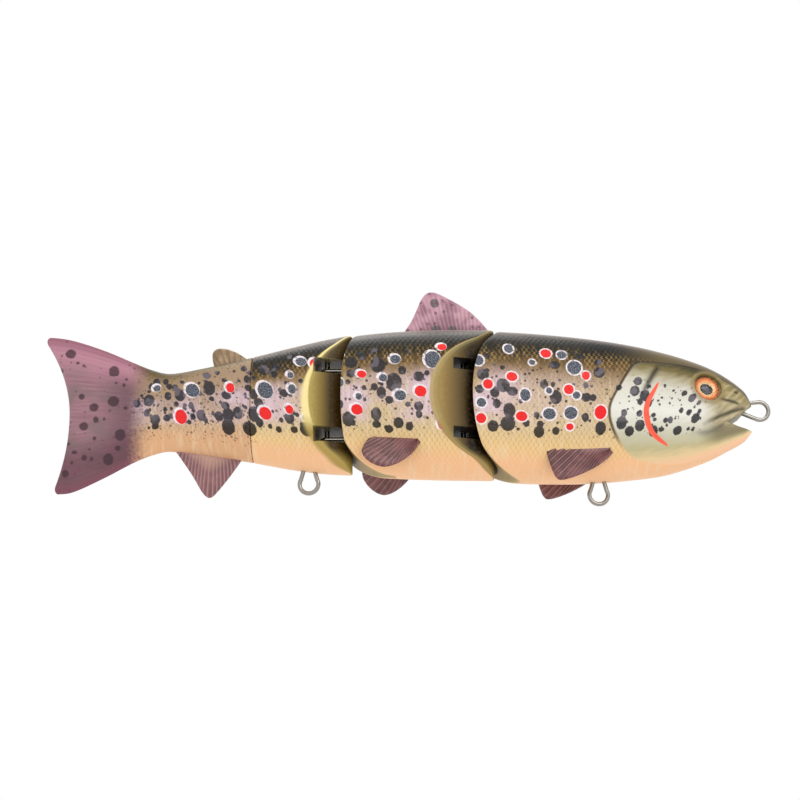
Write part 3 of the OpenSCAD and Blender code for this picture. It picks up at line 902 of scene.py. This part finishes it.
def join(tree, socket, value):
    """Gives a socket its value: another socket, a plain number or a display colour."""
    value = getattr(value, "socket", value)
    if isinstance(value, bpy.types.NodeSocket):
        tree.links.new(value, socket)
    else:
        socket.default_value = rgb(*value) if isinstance(value, tuple) else value


def make_node(tree, kind, **inputs):
    """A new shader node. In the names of its inputs _ stands for a space."""
    node = tree.nodes.new("ShaderNode" + kind)
    for key, value in inputs.items():
        join(tree, node.inputs[key.replace("_", " ")], value)
    return node


class Value:
    """A number in a node tree, which takes part in sums like a plain number."""

    def __init__(self, tree, socket):
        self.tree, self.socket = tree, socket

    def math(self, kind, *others):
        node = make_node(self.tree, "Math")
        node.operation = kind
        for socket, value in zip(node.inputs, (self, *others)):
            join(self.tree, socket, value)
        return Value(self.tree, node.outputs[0])

    def __add__(self, other):
        return self.math("ADD", other)

    def __sub__(self, other):
        return self.math("SUBTRACT", other)

    def __mul__(self, other):
        return self.math("MULTIPLY", other)

    def __truediv__(self, other):
        return self.math("DIVIDE", other)

    def __abs__(self):
        return self.math("ABSOLUTE")

    def step(self, low, high):
        """Smooth step from 0 at low to 1 at high."""
        falls = low > high
        node = make_node(self.tree, "MapRange", Value=self, From_Min=min(low, high), From_Max=max(low, high),
                         To_Min=float(falls), To_Max=float(not falls))
        node.interpolation_type = "SMOOTHSTEP"
        return Value(self.tree, node.outputs["Result"])

    def band(self, start, full, fade, end):
        """Rises from start to full and falls from fade to end."""
        return self.step(start, full) * self.step(end, fade)


class Paint:
    """Small helper that builds one procedural node material. Colours are display values from 0 to 1."""

    def __init__(self, name, **uniform):
        self.material = bpy.data.materials.new(name)
        self.material.use_nodes = True
        self.tree = self.material.node_tree
        self.shader = self.tree.nodes["Principled BSDF"]
        for key, value in uniform.items():
            self.shader.inputs[key.replace("_", " ")].default_value = value

    def node(self, kind, **inputs):
        return make_node(self.tree, kind, **inputs)

    def value(self, socket):
        return Value(self.tree, socket)

    def field(self, name):
        node = self.node("Attribute")
        node.attribute_name = name
        return self.value(node.outputs["Fac"])

    def mix(self, factor, a, b, blend="MIX"):
        node = self.node("Mix")
        node.data_type = "RGBA"
        node.blend_type = blend
        join(self.tree, node.inputs["Factor"], factor)
        for name, value in (("A", a), ("B", b)):
            socket = next(s for s in node.inputs if s.name == name and s.type == "RGBA")
            join(self.tree, socket, value)
        return next(s for s in node.outputs if s.type == "RGBA")

    def layers(self, colour, *layers):
        """Lays inks over a colour in turn. Each has a mask, a strength and the ink."""
        for mask, strength, ink in layers:
            colour = self.mix(mask * strength, colour, ink)
        return colour

    def ramp(self, factor, *stops):
        """Colour that runs through stops, each a place and then red, green and blue."""
        return self.linear_ramp(factor, [(place, rgb(*colour)) for place, *colour in stops])

    def levels(self, factor, *stops):
        """Number that runs through stops, each a place and a level."""
        return self.value(self.linear_ramp(factor, [(place, (v, v, v, 1)) for place, v in stops]))

    def linear_ramp(self, factor, stops):
        node = self.node("ValToRGB")
        join(self.tree, node.inputs[0], factor)
        elements = node.color_ramp.elements
        elements[0].position, elements[0].color = stops[0]
        elements[1].position, elements[1].color = stops[-1]
        for place, colour in stops[1:-1]:
            elements.new(place).color = colour
        return node.outputs["Color"]

    def vector(self, x, y, z=0.0):
        return self.node("CombineXYZ", X=x, Y=y, Z=z).outputs[0]

    def place(self):
        return self.node("TexCoord").outputs["Object"]

    def side_place(self):
        """Place in side view only, the same on both faces of a thin piece."""
        split = self.node("SeparateXYZ", Vector=self.place())
        return self.vector(split.outputs["X"], split.outputs["Z"])

    def noise(self, vector, scale, detail=2.0):
        return self.value(self.node("TexNoise", Vector=vector, Scale=scale, Detail=detail).outputs["Fac"])

    def cells(self, vector, scale, space="3D"):
        """Distance to the nearest of scattered points, and that point's own random value."""
        node = self.node("TexVoronoi")
        node.voronoi_dimensions = space
        join(self.tree, node.inputs["Vector"], vector)
        node.inputs["Scale"].default_value = scale
        split = self.node("SeparateColor", Color=node.outputs["Color"])
        return self.value(node.outputs["Distance"]), self.value(split.outputs["Red"])

    def bump(self, height, strength, distance):
        node = self.node("Bump", Strength=strength, Distance=distance, Height=height)
        self.tree.links.new(node.outputs["Normal"], self.shader.inputs["Normal"])

    def colour(self, value):
        join(self.tree, self.shader.inputs["Base Color"], value)
        return self.material


def specks(p, where, scale, size, keep):
    """Scattered round specks of mixed size: 1 on a speck. The larger keep, the more of them."""
    d, pick = p.cells(where, scale)
    return (d - (pick - (1 - keep)) * (size / keep)).step(0.03, -0.03)


def scale_marks(p):
    """Crescent rim of each scale, in step with the relief, and the place along it, both from 0 to 1."""
    g = p.field("girth") / SCALE_WIDE
    row = g.math("FLOOR")
    across = (g - row) * 2 - 1
    shift = row.math("MODULO", 2) * 0.5
    saw = (p.field("fish_x") / -SCALE_LONG + shift + across * across * 0.3).math("FRACT")
    return saw.band(0.35, 0.75, 0.84, 0.98), saw


def body_paint(p):
    """The trout paint over body and head, with what later layers need."""
    x, g, share = p.field("fish_x"), p.field("girth"), p.field("share")
    flat = p.vector(x, g, p.field("flank"))
    fine = p.noise(flat, 0.9, 3)
    wobble = share + (fine - 0.5) * 0.05
    # from the belly line to the back, on the hard segments and on the soft tail; the pale grey stops at the
    # very top of the back are a painted sheen
    flank = p.ramp(
        wobble, (0.0, 0.97, 0.76, 0.58), (0.16, 0.96, 0.75, 0.56), (0.24, 0.92, 0.77, 0.54),
        (0.34, 0.84, 0.74, 0.57), (0.46, 0.81, 0.71, 0.57), (0.56, 0.74, 0.64, 0.49),
        (0.63, 0.57, 0.46, 0.33), (0.69, 0.38, 0.29, 0.18), (0.745, 0.15, 0.12, 0.07),
        (0.79, 0.05, 0.04, 0.03), (0.85, 0.06, 0.05, 0.04), (0.91, 0.46, 0.42, 0.40),
        (0.96, 0.66, 0.61, 0.59), (1.0, 0.68, 0.64, 0.62))
    hind = p.ramp(
        wobble, (0.0, 0.87, 0.67, 0.50), (0.2, 0.86, 0.67, 0.50), (0.34, 0.80, 0.67, 0.54),
        (0.5, 0.73, 0.62, 0.55), (0.68, 0.67, 0.56, 0.48), (0.84, 0.60, 0.50, 0.38),
        (0.93, 0.42, 0.35, 0.22), (1.0, 0.33, 0.28, 0.17))
    # rims of the scales: gold along the upper flank, darker and paler below
    marks, saw = scale_marks(p)
    columns = p.noise(p.vector(x * 0.9, g * 0.12), 1.0, 2)
    gold = marks * share.band(0.58, 0.7, 0.72, 0.82) * columns.step(0.38, 0.58)
    # mauve pearl along the middle of the flanks, strongest toward the hinges
    along = p.levels(
        x / -210, (0.0, 0), (0.2, 0.1), (0.33, 0.3), (0.385, 0.95), (0.42, 0.9), (0.475, 0.9), (0.52, 0.5),
        (0.56, 0.9), (0.6, 0.7), (0.645, 0.7), (0.67, 0.9), (0.73, 0.8), (0.8, 0.75), (1.0, 0.6))
    pearl = share.band(0.3, 0.42, 0.56, 0.68) * along * p.noise(flat, 0.11, 3).step(0.32, 0.6)
    # fine maroon and black specks along the flanks
    zone = share.band(0.24, 0.36, 0.64, 0.74)
    small = specks(p, flat, 0.85, 0.42, 0.65) * zone * p.noise(flat, 0.22, 2).step(0.32, 0.56)
    tiny = specks(p, p.vector(g, x, 40.0), 1.7, 0.34, 0.45) * zone
    more = specks(p, p.vector(g, x, 75.0), 1.1, 0.42, 0.75) * x.step(-140, -150) * share.step(0.1, 0.26)
    colour = p.layers(
        p.mix(x.step(SEAM_X + 0.6, SEAM_X - 0.6), flank, hind),
        (gold, 0.65, (0.70, 0.57, 0.33)),
        (saw.step(0.72, 0.9) * share.band(0.1, 0.3, 0.6, 0.75), 0.34, (0.40, 0.33, 0.22)),
        (columns.step(0.5, 0.7) * share.step(0.68, 0.56), 0.3, (0.93, 0.86, 0.72)),
        (pearl, 0.85, p.mix(columns, (0.74, 0.61, 0.69), (0.94, 0.86, 0.90))),
        (small, 0.88, (0.20, 0.14, 0.14)),
        (tiny, 0.7, (0.34, 0.26, 0.18)),
        (more, 0.7, (0.30, 0.22, 0.20)))
    return colour, flat, fine, saw


def spot_layers(p, colour, flat):
    """Dark spots, then pale rings, their dark middles and the red ones."""
    share = p.field("share")
    ragged = (p.noise(flat, 1.6, 2) - 0.5) * 0.55

    def on(name, soft, rag):
        return (p.field(name) + ragged * rag).step(soft, -soft)

    mottle = p.noise(flat, 2.6, 3)
    faded = p.noise(flat, 0.3, 1).step(0.5, 0.62) * share.step(0.34, 0.42)
    charcoal = p.layers(
        p.mix(mottle.step(0.35, 0.7), (0.08, 0.08, 0.10), (0.22, 0.22, 0.26)),
        (share.step(0.36, 0.3), 0.85, (0.03, 0.03, 0.03)),
        (faded, 0.75, (0.42, 0.39, 0.43)))
    brushed = p.noise(flat, 0.95, 2).step(0.36, 0.52) * 0.7 + 0.3
    slate = p.mix(mottle.step(0.4, 0.62), (0.20, 0.21, 0.24), (0.45, 0.47, 0.52))
    scarlet = p.mix(mottle.step(0.3, 0.7), (0.88, 0.07, 0.09), (0.95, 0.20, 0.20))
    return p.layers(
        colour,
        (on("dark", 0.14, 1.0), 0.94, charcoal),
        (on("halo", 0.12, 0.6) * brushed, 0.93, (0.95, 0.91, 0.93)),
        (on("core", 0.1, 0.5), 1.0, slate),
        (on("red", 0.08, 0.3), 1.0, scarlet))


def head_layers(p, colour, flat):
    """The crown, the pale face inside the gill cover with the snout, and the dark painted lines."""
    x, share, gill = p.field("fish_x"), p.field("share"), p.field("gill")
    wave = p.noise(p.vector(x * 0.35, p.field("girth"), p.field("flank")), 0.8, 3)
    # the lighter grey at the top of this ramp is a painted sheen
    face = p.ramp(
        share + (wave - 0.5) * 0.07, (0.0, 0.97, 0.77, 0.62), (0.12, 0.97, 0.78, 0.62),
        (0.17, 0.90, 0.79, 0.60), (0.23, 0.75, 0.71, 0.54), (0.31, 0.78, 0.76, 0.67),
        (0.45, 0.90, 0.89, 0.85), (0.6, 0.82, 0.80, 0.74), (0.67, 0.66, 0.62, 0.50),
        (0.715, 0.46, 0.41, 0.25), (0.78, 0.24, 0.22, 0.13), (0.88, 0.38, 0.36, 0.31),
        (1.0, 0.44, 0.42, 0.39))
    snout = p.mix(wave.step(0.35, 0.65), (0.74, 0.67, 0.49), (0.56, 0.50, 0.33))
    snout = p.mix(share.step(0.42, 0.28), snout, (0.48, 0.43, 0.31))
    front = x.step(-20, -12.5) * share.band(0.16, 0.26, 0.74, 0.86)
    on_head = gill.step(-0.15, 0.2)
    edge = abs(gill + 0.35).step(0.6, 0.1) * x.step(-15, -21) * share.step(0.22, 0.34)
    tiny = specks(p, flat, 1.2, 0.36, 0.35) * on_head * x.step(-13, -18)
    return p.layers(
        colour,
        # the olive-brown crown turns grey-brown toward the top: a painted sheen
        (x.step(-46, -27) * share.step(0.64, 0.72), 0.85,
         p.mix(share.step(0.8, 0.95), (0.40, 0.34, 0.21), (0.52, 0.47, 0.40))),
        (on_head, 1.0, p.mix(front * 0.85, face, snout)),
        (edge, 0.8, (0.13, 0.11, 0.08)),
        (p.field("lines"), 0.85, (0.14, 0.12, 0.10)),
        (p.field("lid"), 0.6, (0.55, 0.45, 0.20)),
        (tiny * share.band(0.28, 0.34, 0.62, 0.7), 0.85, (0.25, 0.23, 0.20)))


# nose is the colour of the bare plastic; deep is painted shade on the nose and cup faces, darkest by the
# middle plane; lip is the pale band behind a rim
def shell_material(name, head=False, nose=(0.58, 0.48, 0.28), deep=(0.09, 0.05, 0.02),
                   lip=(0.70, 0.60, 0.40)):
    p = Paint(name, Roughness=0.42, Coat_Weight=0.09, Coat_Roughness=0.08, Specular_IOR_Level=0.12)
    share = p.field("share")
    colour, flat, fine, saw = body_paint(p)
    if head:
        colour = head_layers(p, colour, flat)
    colour = spot_layers(p, colour, flat)
    if head:
        coral = p.mix(fine, (0.93, 0.30, 0.22), (1.0, 0.46, 0.36))
        colour = p.mix(p.field("slash").step(-0.12, 0.12), colour, coral)
        colour = p.mix(p.field("mouth").step(-0.25, 0.1), colour, (0.50, 0.45, 0.30))
    # bare plastic of the noses and cups, with painted shade that is darkest near the middle plane, where the
    # nose lies in the shadow of the cup
    inner = p.layers(
        p.ramp(p.field("face_y"), (0.0, *deep), (0.68, *deep), (0.92, *nose), (1.0, *nose)),
        (share.step(0.22, 0.1), 1.0, nose),
        (share.step(0.7, 0.86), 0.6, (0.34, 0.28, 0.17)),
        (fine.step(0.4, 0.7), 0.2, (0.44, 0.35, 0.19)))
    colour = p.layers(
        colour,
        (p.field("lip"), 0.94, p.mix(share.step(0.42, 0.28), lip, nose)),
        (p.field("face"), 1.0, inner),
        # a pale band on the rounded rim: a painted highlight
        (p.field("rim"), 0.25, (0.76, 0.72, 0.46)))
    p.bump(saw * 0.6 + p.noise(flat, 3.5, 3) * 0.35, 0.25, 0.00008)
    return p.colour(colour)


def tail_material():
    p = Paint("soft_tail_paint", Roughness=0.5, Coat_Weight=0.1, Coat_Roughness=0.2, Specular_IOR_Level=0.2,
              Subsurface_Weight=0.08, Subsurface_Radius=(0.002, 0.0012, 0.001))
    colour, flat, fine, saw = body_paint(p)
    x, share = p.field("fish_x"), p.field("share")
    streak = p.noise(p.vector(x * 0.12, share * 60), 1.0, 3)
    mauve = p.layers(
        p.mix(streak.step(0.25, 0.75), (0.56, 0.40, 0.44), (0.64, 0.48, 0.51)),
        (p.noise(flat, 0.12, 2).step(0.4, 0.65), 1.0, (0.53, 0.43, 0.44)),
        (x.step(-194, -182), 0.75, (0.42, 0.30, 0.33)),
        (share.step(0.4, 0.16), 0.75, (0.40, 0.25, 0.29)),
        (share.step(0.7, 0.92), 0.85, (0.75, 0.53, 0.59)),
        (abs(share - 0.5).step(0.41, 0.49), 0.6, (0.52, 0.30, 0.36)))
    colour = p.layers(
        colour,
        ((x + (fine - 0.5) * 5).step(-176, -184), 1.0, mauve),
        (specks(p, flat, 0.7, 0.36, 0.45) * x.step(-176, -182), 0.6, (0.42, 0.25, 0.30)),
        ((p.field("fin_dark") + (fine - 0.5) * 0.5).step(0.25, -0.25), 0.85, (0.25, 0.17, 0.20)))
    colour = spot_layers(p, colour, flat)
    p.bump(saw * 0.5 + p.noise(flat, 3.5, 3) * 0.4, 0.2, 0.00008)
    return p.colour(colour)


def fin_material(name, dark, light, line, spots=False, line_width=0.3, line_share=0.6, root=None):
    """A fin with fine rays, mixed light and dark along its length."""
    p = Paint(name, Roughness=0.42, Coat_Weight=0.3, Coat_Roughness=0.25)
    colour = p.mix(p.noise(p.place(), 260.0, 3).step(0.35, 0.65), dark, light)
    if root:
        colour = p.mix(p.field("out").step(0.6, 0.12), colour, root)
    wave = abs(p.field("ray").math("FRACT") - 0.5)
    colour = p.mix(wave.step(0.5 - line_width, 0.5) * line_share, colour, line)
    if spots:
        for scale, inner, strength, ink in ((170.0, 0.2, 0.85, (0.30, 0.27, 0.29)),
                                            (480.0, 0.18, 0.7, (0.36, 0.2, 0.25))):
            d, pick = p.cells(p.side_place(), scale, "2D")
            blot = d.step(0.26, inner) * pick.step(0.55, 0.57)
            colour = p.mix(blot * strength, colour, ink)
    p.bump(p.noise(p.place(), 1800.0, 3), 0.15, 0.0001)
    return p.colour(colour)


def steel(name, tint, rough):
    p = Paint(name, Metallic=1.0)
    cloud = p.noise(p.place(), 900.0, 4)
    join(p.tree, p.shader.inputs["Roughness"], cloud * 0.14 + rough)
    p.bump(p.noise(p.place(), 5200.0, 2), 0.12, 0.00005)
    return p.colour(p.mix(cloud, tuple(c * 0.86 for c in tint), tint))


def iris_material():
    p = Paint("iris_paint", Roughness=0.4, Coat_Weight=0.5)
    r, turn = p.field("eye_r"), p.field("eye_turn")
    threads = p.noise(p.vector(turn.math("SINE") * 9, turn.math("COSINE") * 9, r), 1.0, 3)
    oval = r + (turn * 2).math("COSINE") * -0.16
    colour = p.ramp(
        oval / 4, (0.0, 0.36, 0.38, 0.44), (0.25, 0.30, 0.32, 0.38), (0.31, 0.05, 0.04, 0.04),
        (0.42, 0.06, 0.05, 0.04), (0.46, 1.0, 0.86, 0.68), (0.54, 0.99, 0.76, 0.52), (0.66, 0.98, 0.64, 0.34),
        (0.76, 0.94, 0.47, 0.17), (0.93, 0.90, 0.42, 0.13), (1.0, 0.30, 0.16, 0.08))
    colour = p.mix(threads.step(0.4, 0.7) * 0.3, colour, (0.98, 0.72, 0.42), "SOFT_LIGHT")
    p.bump(threads, 0.1, 0.0001)
    return p.colour(colour)


def lens_material():
    p = Paint("lens_clear", Transmission_Weight=1.0, IOR=1.12)
    haze = p.noise(p.place(), 700.0, 2)
    join(p.tree, p.shader.inputs["Roughness"], haze * 0.04)
    return p.colour(p.mix(haze, (1.0, 0.99, 0.97), (1.0, 1.0, 1.0)))


# --- pieces --------------------------------------------------------------------------

SIDES = ((LEFT, "left"), (RIGHT, "right"))
SHARP_EDGE = math.radians(48)
WIRE_R = 0.625
MID_LIP, REAR_LIP = 1.9, 4.8       # widest place of the bare lip behind each nose
FRONT_HANGER, REAR_HANGER = (-47.3, -27), (-130.7, -25.2)
# Iris and lens as turned profiles of radius and height. The top of the lens is part of a ball.
BOWL = [(0, -1.9), (3.78, -1.9), (3.86, -1.5), (3.86, -1.2), (3.5, -0.96), (2.2, -1.12), (1.9, -1.2),
        (1.8, -1.32), (0, -1.34)]
LENS_BASE = [(3.78, -0.75), (3.74, -0.9), (2.2, -1.05), (1.9, -1.15), (0, -1.24)]
DOME_R, DOME_TOP, DOME_EDGE = 5.2, 0.9, 3.7


def finish_mesh(ob, body, nodes, paint):
    """Gives a piece its paint, body and replaced nodes. A blended piece has no one body."""
    ob.data.materials.append(paint)
    ob.data.set_sharp_from_angle(angle=SHARP_EDGE)
    if body:
        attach(ob, body)
    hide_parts(*nodes)


def flank_field(ob, side):
    attribute(ob, "flank", np.full(len(ob.data.vertices), NOISE_APART * side))


head_paint = shell_material("head_paint", head=True)
mid_paint = shell_material("mid_paint", nose=(0.61, 0.50, 0.29))
# deep here is the lighter painted shade of the rear nose inside its cup
rear_paint = shell_material("rear_paint", nose=(0.67, 0.57, 0.29), deep=(0.24, 0.17, 0.05),
                            lip=(0.98, 0.90, 0.62))
steel_bright = steel("steel_bright", (0.66, 0.64, 0.61), 0.16)
steel_pin = steel("steel_pin", (0.80, 0.78, 0.74), 0.16)
iris_paint, lens_clear = iris_material(), lens_material()

for side, word in SIDES:
    head = half_shell("head_skin_" + word, side, None, head_back, (-2.4, -86), TO_HEAD)
    cut(head, prism("mouth", [MOUTH], 20, TO_HEAD))
    paint_fields(head, TO_HEAD)
    mid = half_shell("mid_skin_" + word, side, mid_front, mid_back, (-78, -122), TO_MID)
    cut(mid, prism("slots", slot_outlines(PIVOT_FRONT, FRONT_HINGE), SLOT_REACH, TO_MID))
    paint_fields(mid, TO_MID, front=mid_front, lip=MID_LIP)
    rear = half_shell("rear_skin_" + word, side, rear_front, rear_back, (-118, -148), TO_REAR, rim_back=0.3)
    cut(rear, prism("slots", slot_outlines(PIVOT_REAR, REAR_HINGE), SLOT_REACH, TO_REAR))
    paint_fields(rear, TO_REAR, front=rear_front, lip=REAR_LIP)
    for ob, body, paint in ((head, "head", head_paint), (mid, "mid", mid_paint), (rear, "rear", rear_paint)):
        flank_field(ob, side)
        finish_mesh(ob, body, [body + "_shell_" + word], paint)

tail = mesh_object("soft_tail_body", *tail_body(), TO_REAR)
paint_fields(tail, TO_REAR, tail=True)
flank_field(tail, LEFT)
finish_mesh(tail, None, ["tail_sleeve", "tail_fin"], tail_material())
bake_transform(tail)

anal_paint = fin_material("anal_fin_paint", (0.46, 0.28, 0.30), (0.56, 0.37, 0.38), (0.72, 0.55, 0.52),
                          root=(0.76, 0.60, 0.52))
adipose_paint = fin_material("adipose_fin_paint", (0.53, 0.42, 0.28), (0.67, 0.56, 0.43), (0.42, 0.32, 0.20))
dorsal_paint = fin_material("dorsal_fin_paint", (0.58, 0.39, 0.45), (0.76, 0.57, 0.62), (0.60, 0.44, 0.50),
                            spots=True, line_share=0.15, root=(0.52, 0.34, 0.40))
paired_paint = fin_material("paired_fin_paint", (0.33, 0.16, 0.16), (0.46, 0.27, 0.27), (0.70, 0.47, 0.45),
                            line_width=0.14)

anal = fin_object("anal_fin", *fan(**ANAL), TO_REAR)
finish_mesh(anal, None, ["tail_sleeve"], anal_paint)
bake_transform(anal)
adipose = fin_object("adipose_fin", *fan(**ADIPOSE), TO_REAR)
finish_mesh(adipose, "rear", ["tail_sleeve"], adipose_paint)
dorsal = fin_object("dorsal_fin_skin", *fan(**DORSAL), TO_MID)
finish_mesh(dorsal, "mid", ["dorsal_fin"], dorsal_paint)
for side, word in SIDES:
    for node, shape, root, place, body in (("pectoral_fin_", PECTORAL, PECTORAL_ROOT, TO_HEAD, "head"),
                                           ("pelvic_fin_", PELVIC, PELVIC_ROOT, TO_MID, "mid")):
        points, faces, marks = fan(**shape)
        fin = fin_object(node + "skin_" + word, placed(points, paired(side, root)), faces, marks, place)
        finish_mesh(fin, body, [node + word], paired_paint)

for name, path, place, body, node in (
        ("line_tie_wire", line_tie_path(), TO_HEAD, "head", "line_tie"),
        ("front_hanger_wire", hanger_path(FRONT_HANGER), TO_HEAD, "head", "front_hook_hanger"),
        ("rear_hanger_wire", hanger_path(REAR_HANGER), TO_REAR, "rear", "rear_hook_hanger")):
    finish_mesh(tube(name, path, WIRE_R, place), body, [node], steel_bright)

dome = [(r, DOME_TOP - DOME_R + math.sqrt(DOME_R**2 - r * r)) for r in np.linspace(0, DOME_EDGE, 14)]
for side, word in SIDES:
    place = eye_place(side)
    iris = lathe("iris_" + word, BOWL, place)
    finish_mesh(iris, "head", ["eye_iris_" + word], iris_paint)
    lens = lathe("lens_" + word, dome + LENS_BASE, place)
    finish_mesh(lens, "head", ["eye_lens_" + word], lens_clear)

# --- pieces of the frame that keep their own shape -------------------------------------

lead = steel("ballast_lead", (0.50, 0.50, 0.52), 0.45)
hinge_parts = ("eye_upper", "eye_lower", "pin")
hinge_nodes = [f"{end}_hinge_{part}" for end in ("front", "rear") for part in hinge_parts]
for nodes, paint, slot in ((hinge_nodes, steel_pin, "hinge_wire"),
                           (["head_ballast", "mid_ballast", "rear_ballast"], lead, "ballast")):
    for node in nodes:
        ob = frame["nodes"][node]
        ob.data.materials.clear()
        ob.data.materials.append(paint)

# --- stage, light and camera ---------------------------------------------------------

AZIMUTH, ELEVATION = math.radians(-8.5), math.radians(-16)
FOCAL_LENGTH, SENSOR = 300, 36
CAMERA_AWAY = 1.92
FLOOR_R, FLOOR_Z = 3, -0.85

toward = Vector((math.cos(ELEVATION) * math.sin(AZIMUTH), -math.cos(ELEVATION) * math.cos(AZIMUTH),
                 math.sin(ELEVATION)))
right = Vector((math.cos(AZIMUTH), math.sin(AZIMUTH), 0))
up = toward.cross(right)
target = (right * -103.7 + up * 3.2 + toward * 4) * MM

camera = bpy.data.objects.new("camera", bpy.data.cameras.new("camera"))
camera.data.lens = FOCAL_LENGTH
camera.data.sensor_width = SENSOR
camera.data.clip_start = 0.01
camera.matrix_world = Matrix((right, up, toward)).transposed().to_4x4()
camera.location = target + toward * CAMERA_AWAY
bpy.context.scene.collection.objects.link(camera)
bpy.context.scene.camera = camera

bpy.ops.mesh.primitive_circle_add(vertices=128, radius=FLOOR_R, fill_type="NGON", location=(-0.1, 0, FLOOR_Z))
floor = bpy.context.object
floor.name = "floor"
floor_paint = Paint("floor_paint", Roughness=0.8)
cloud = floor_paint.noise(floor_paint.place(), 3.0, 2)
grey = floor_paint.mix(cloud, (0.93, 0.93, 0.93), (0.96, 0.96, 0.96))
floor.data.materials.append(floor_paint.colour(grey))

world = bpy.data.worlds.new("studio")
world.use_nodes = True
world.node_tree.nodes["Background"].inputs["Color"].default_value = (1, 1, 1, 1)
world.node_tree.nodes["Background"].inputs["Strength"].default_value = 1.0
bpy.context.scene.world = world


def soft_light(name, place, size, power):
    light = bpy.data.lights.new(name, "AREA")
    light.shape, light.size, light.energy = "DISK", size, power
    ob = bpy.data.objects.new(name, light)
    ob.location = place
    ob.rotation_euler = (target - Vector(place)).to_track_quat("-Z", "Y").to_euler()
    bpy.context.scene.collection.objects.link(ob)


soft_light("top_light", (-0.15, 0.15, 0.7), 0.45, 2.4)
soft_light("front_light", (0.2, -0.75, 0.45), 0.4, 1.6)
bpy.context.scene.view_settings.view_transform = "Standard"
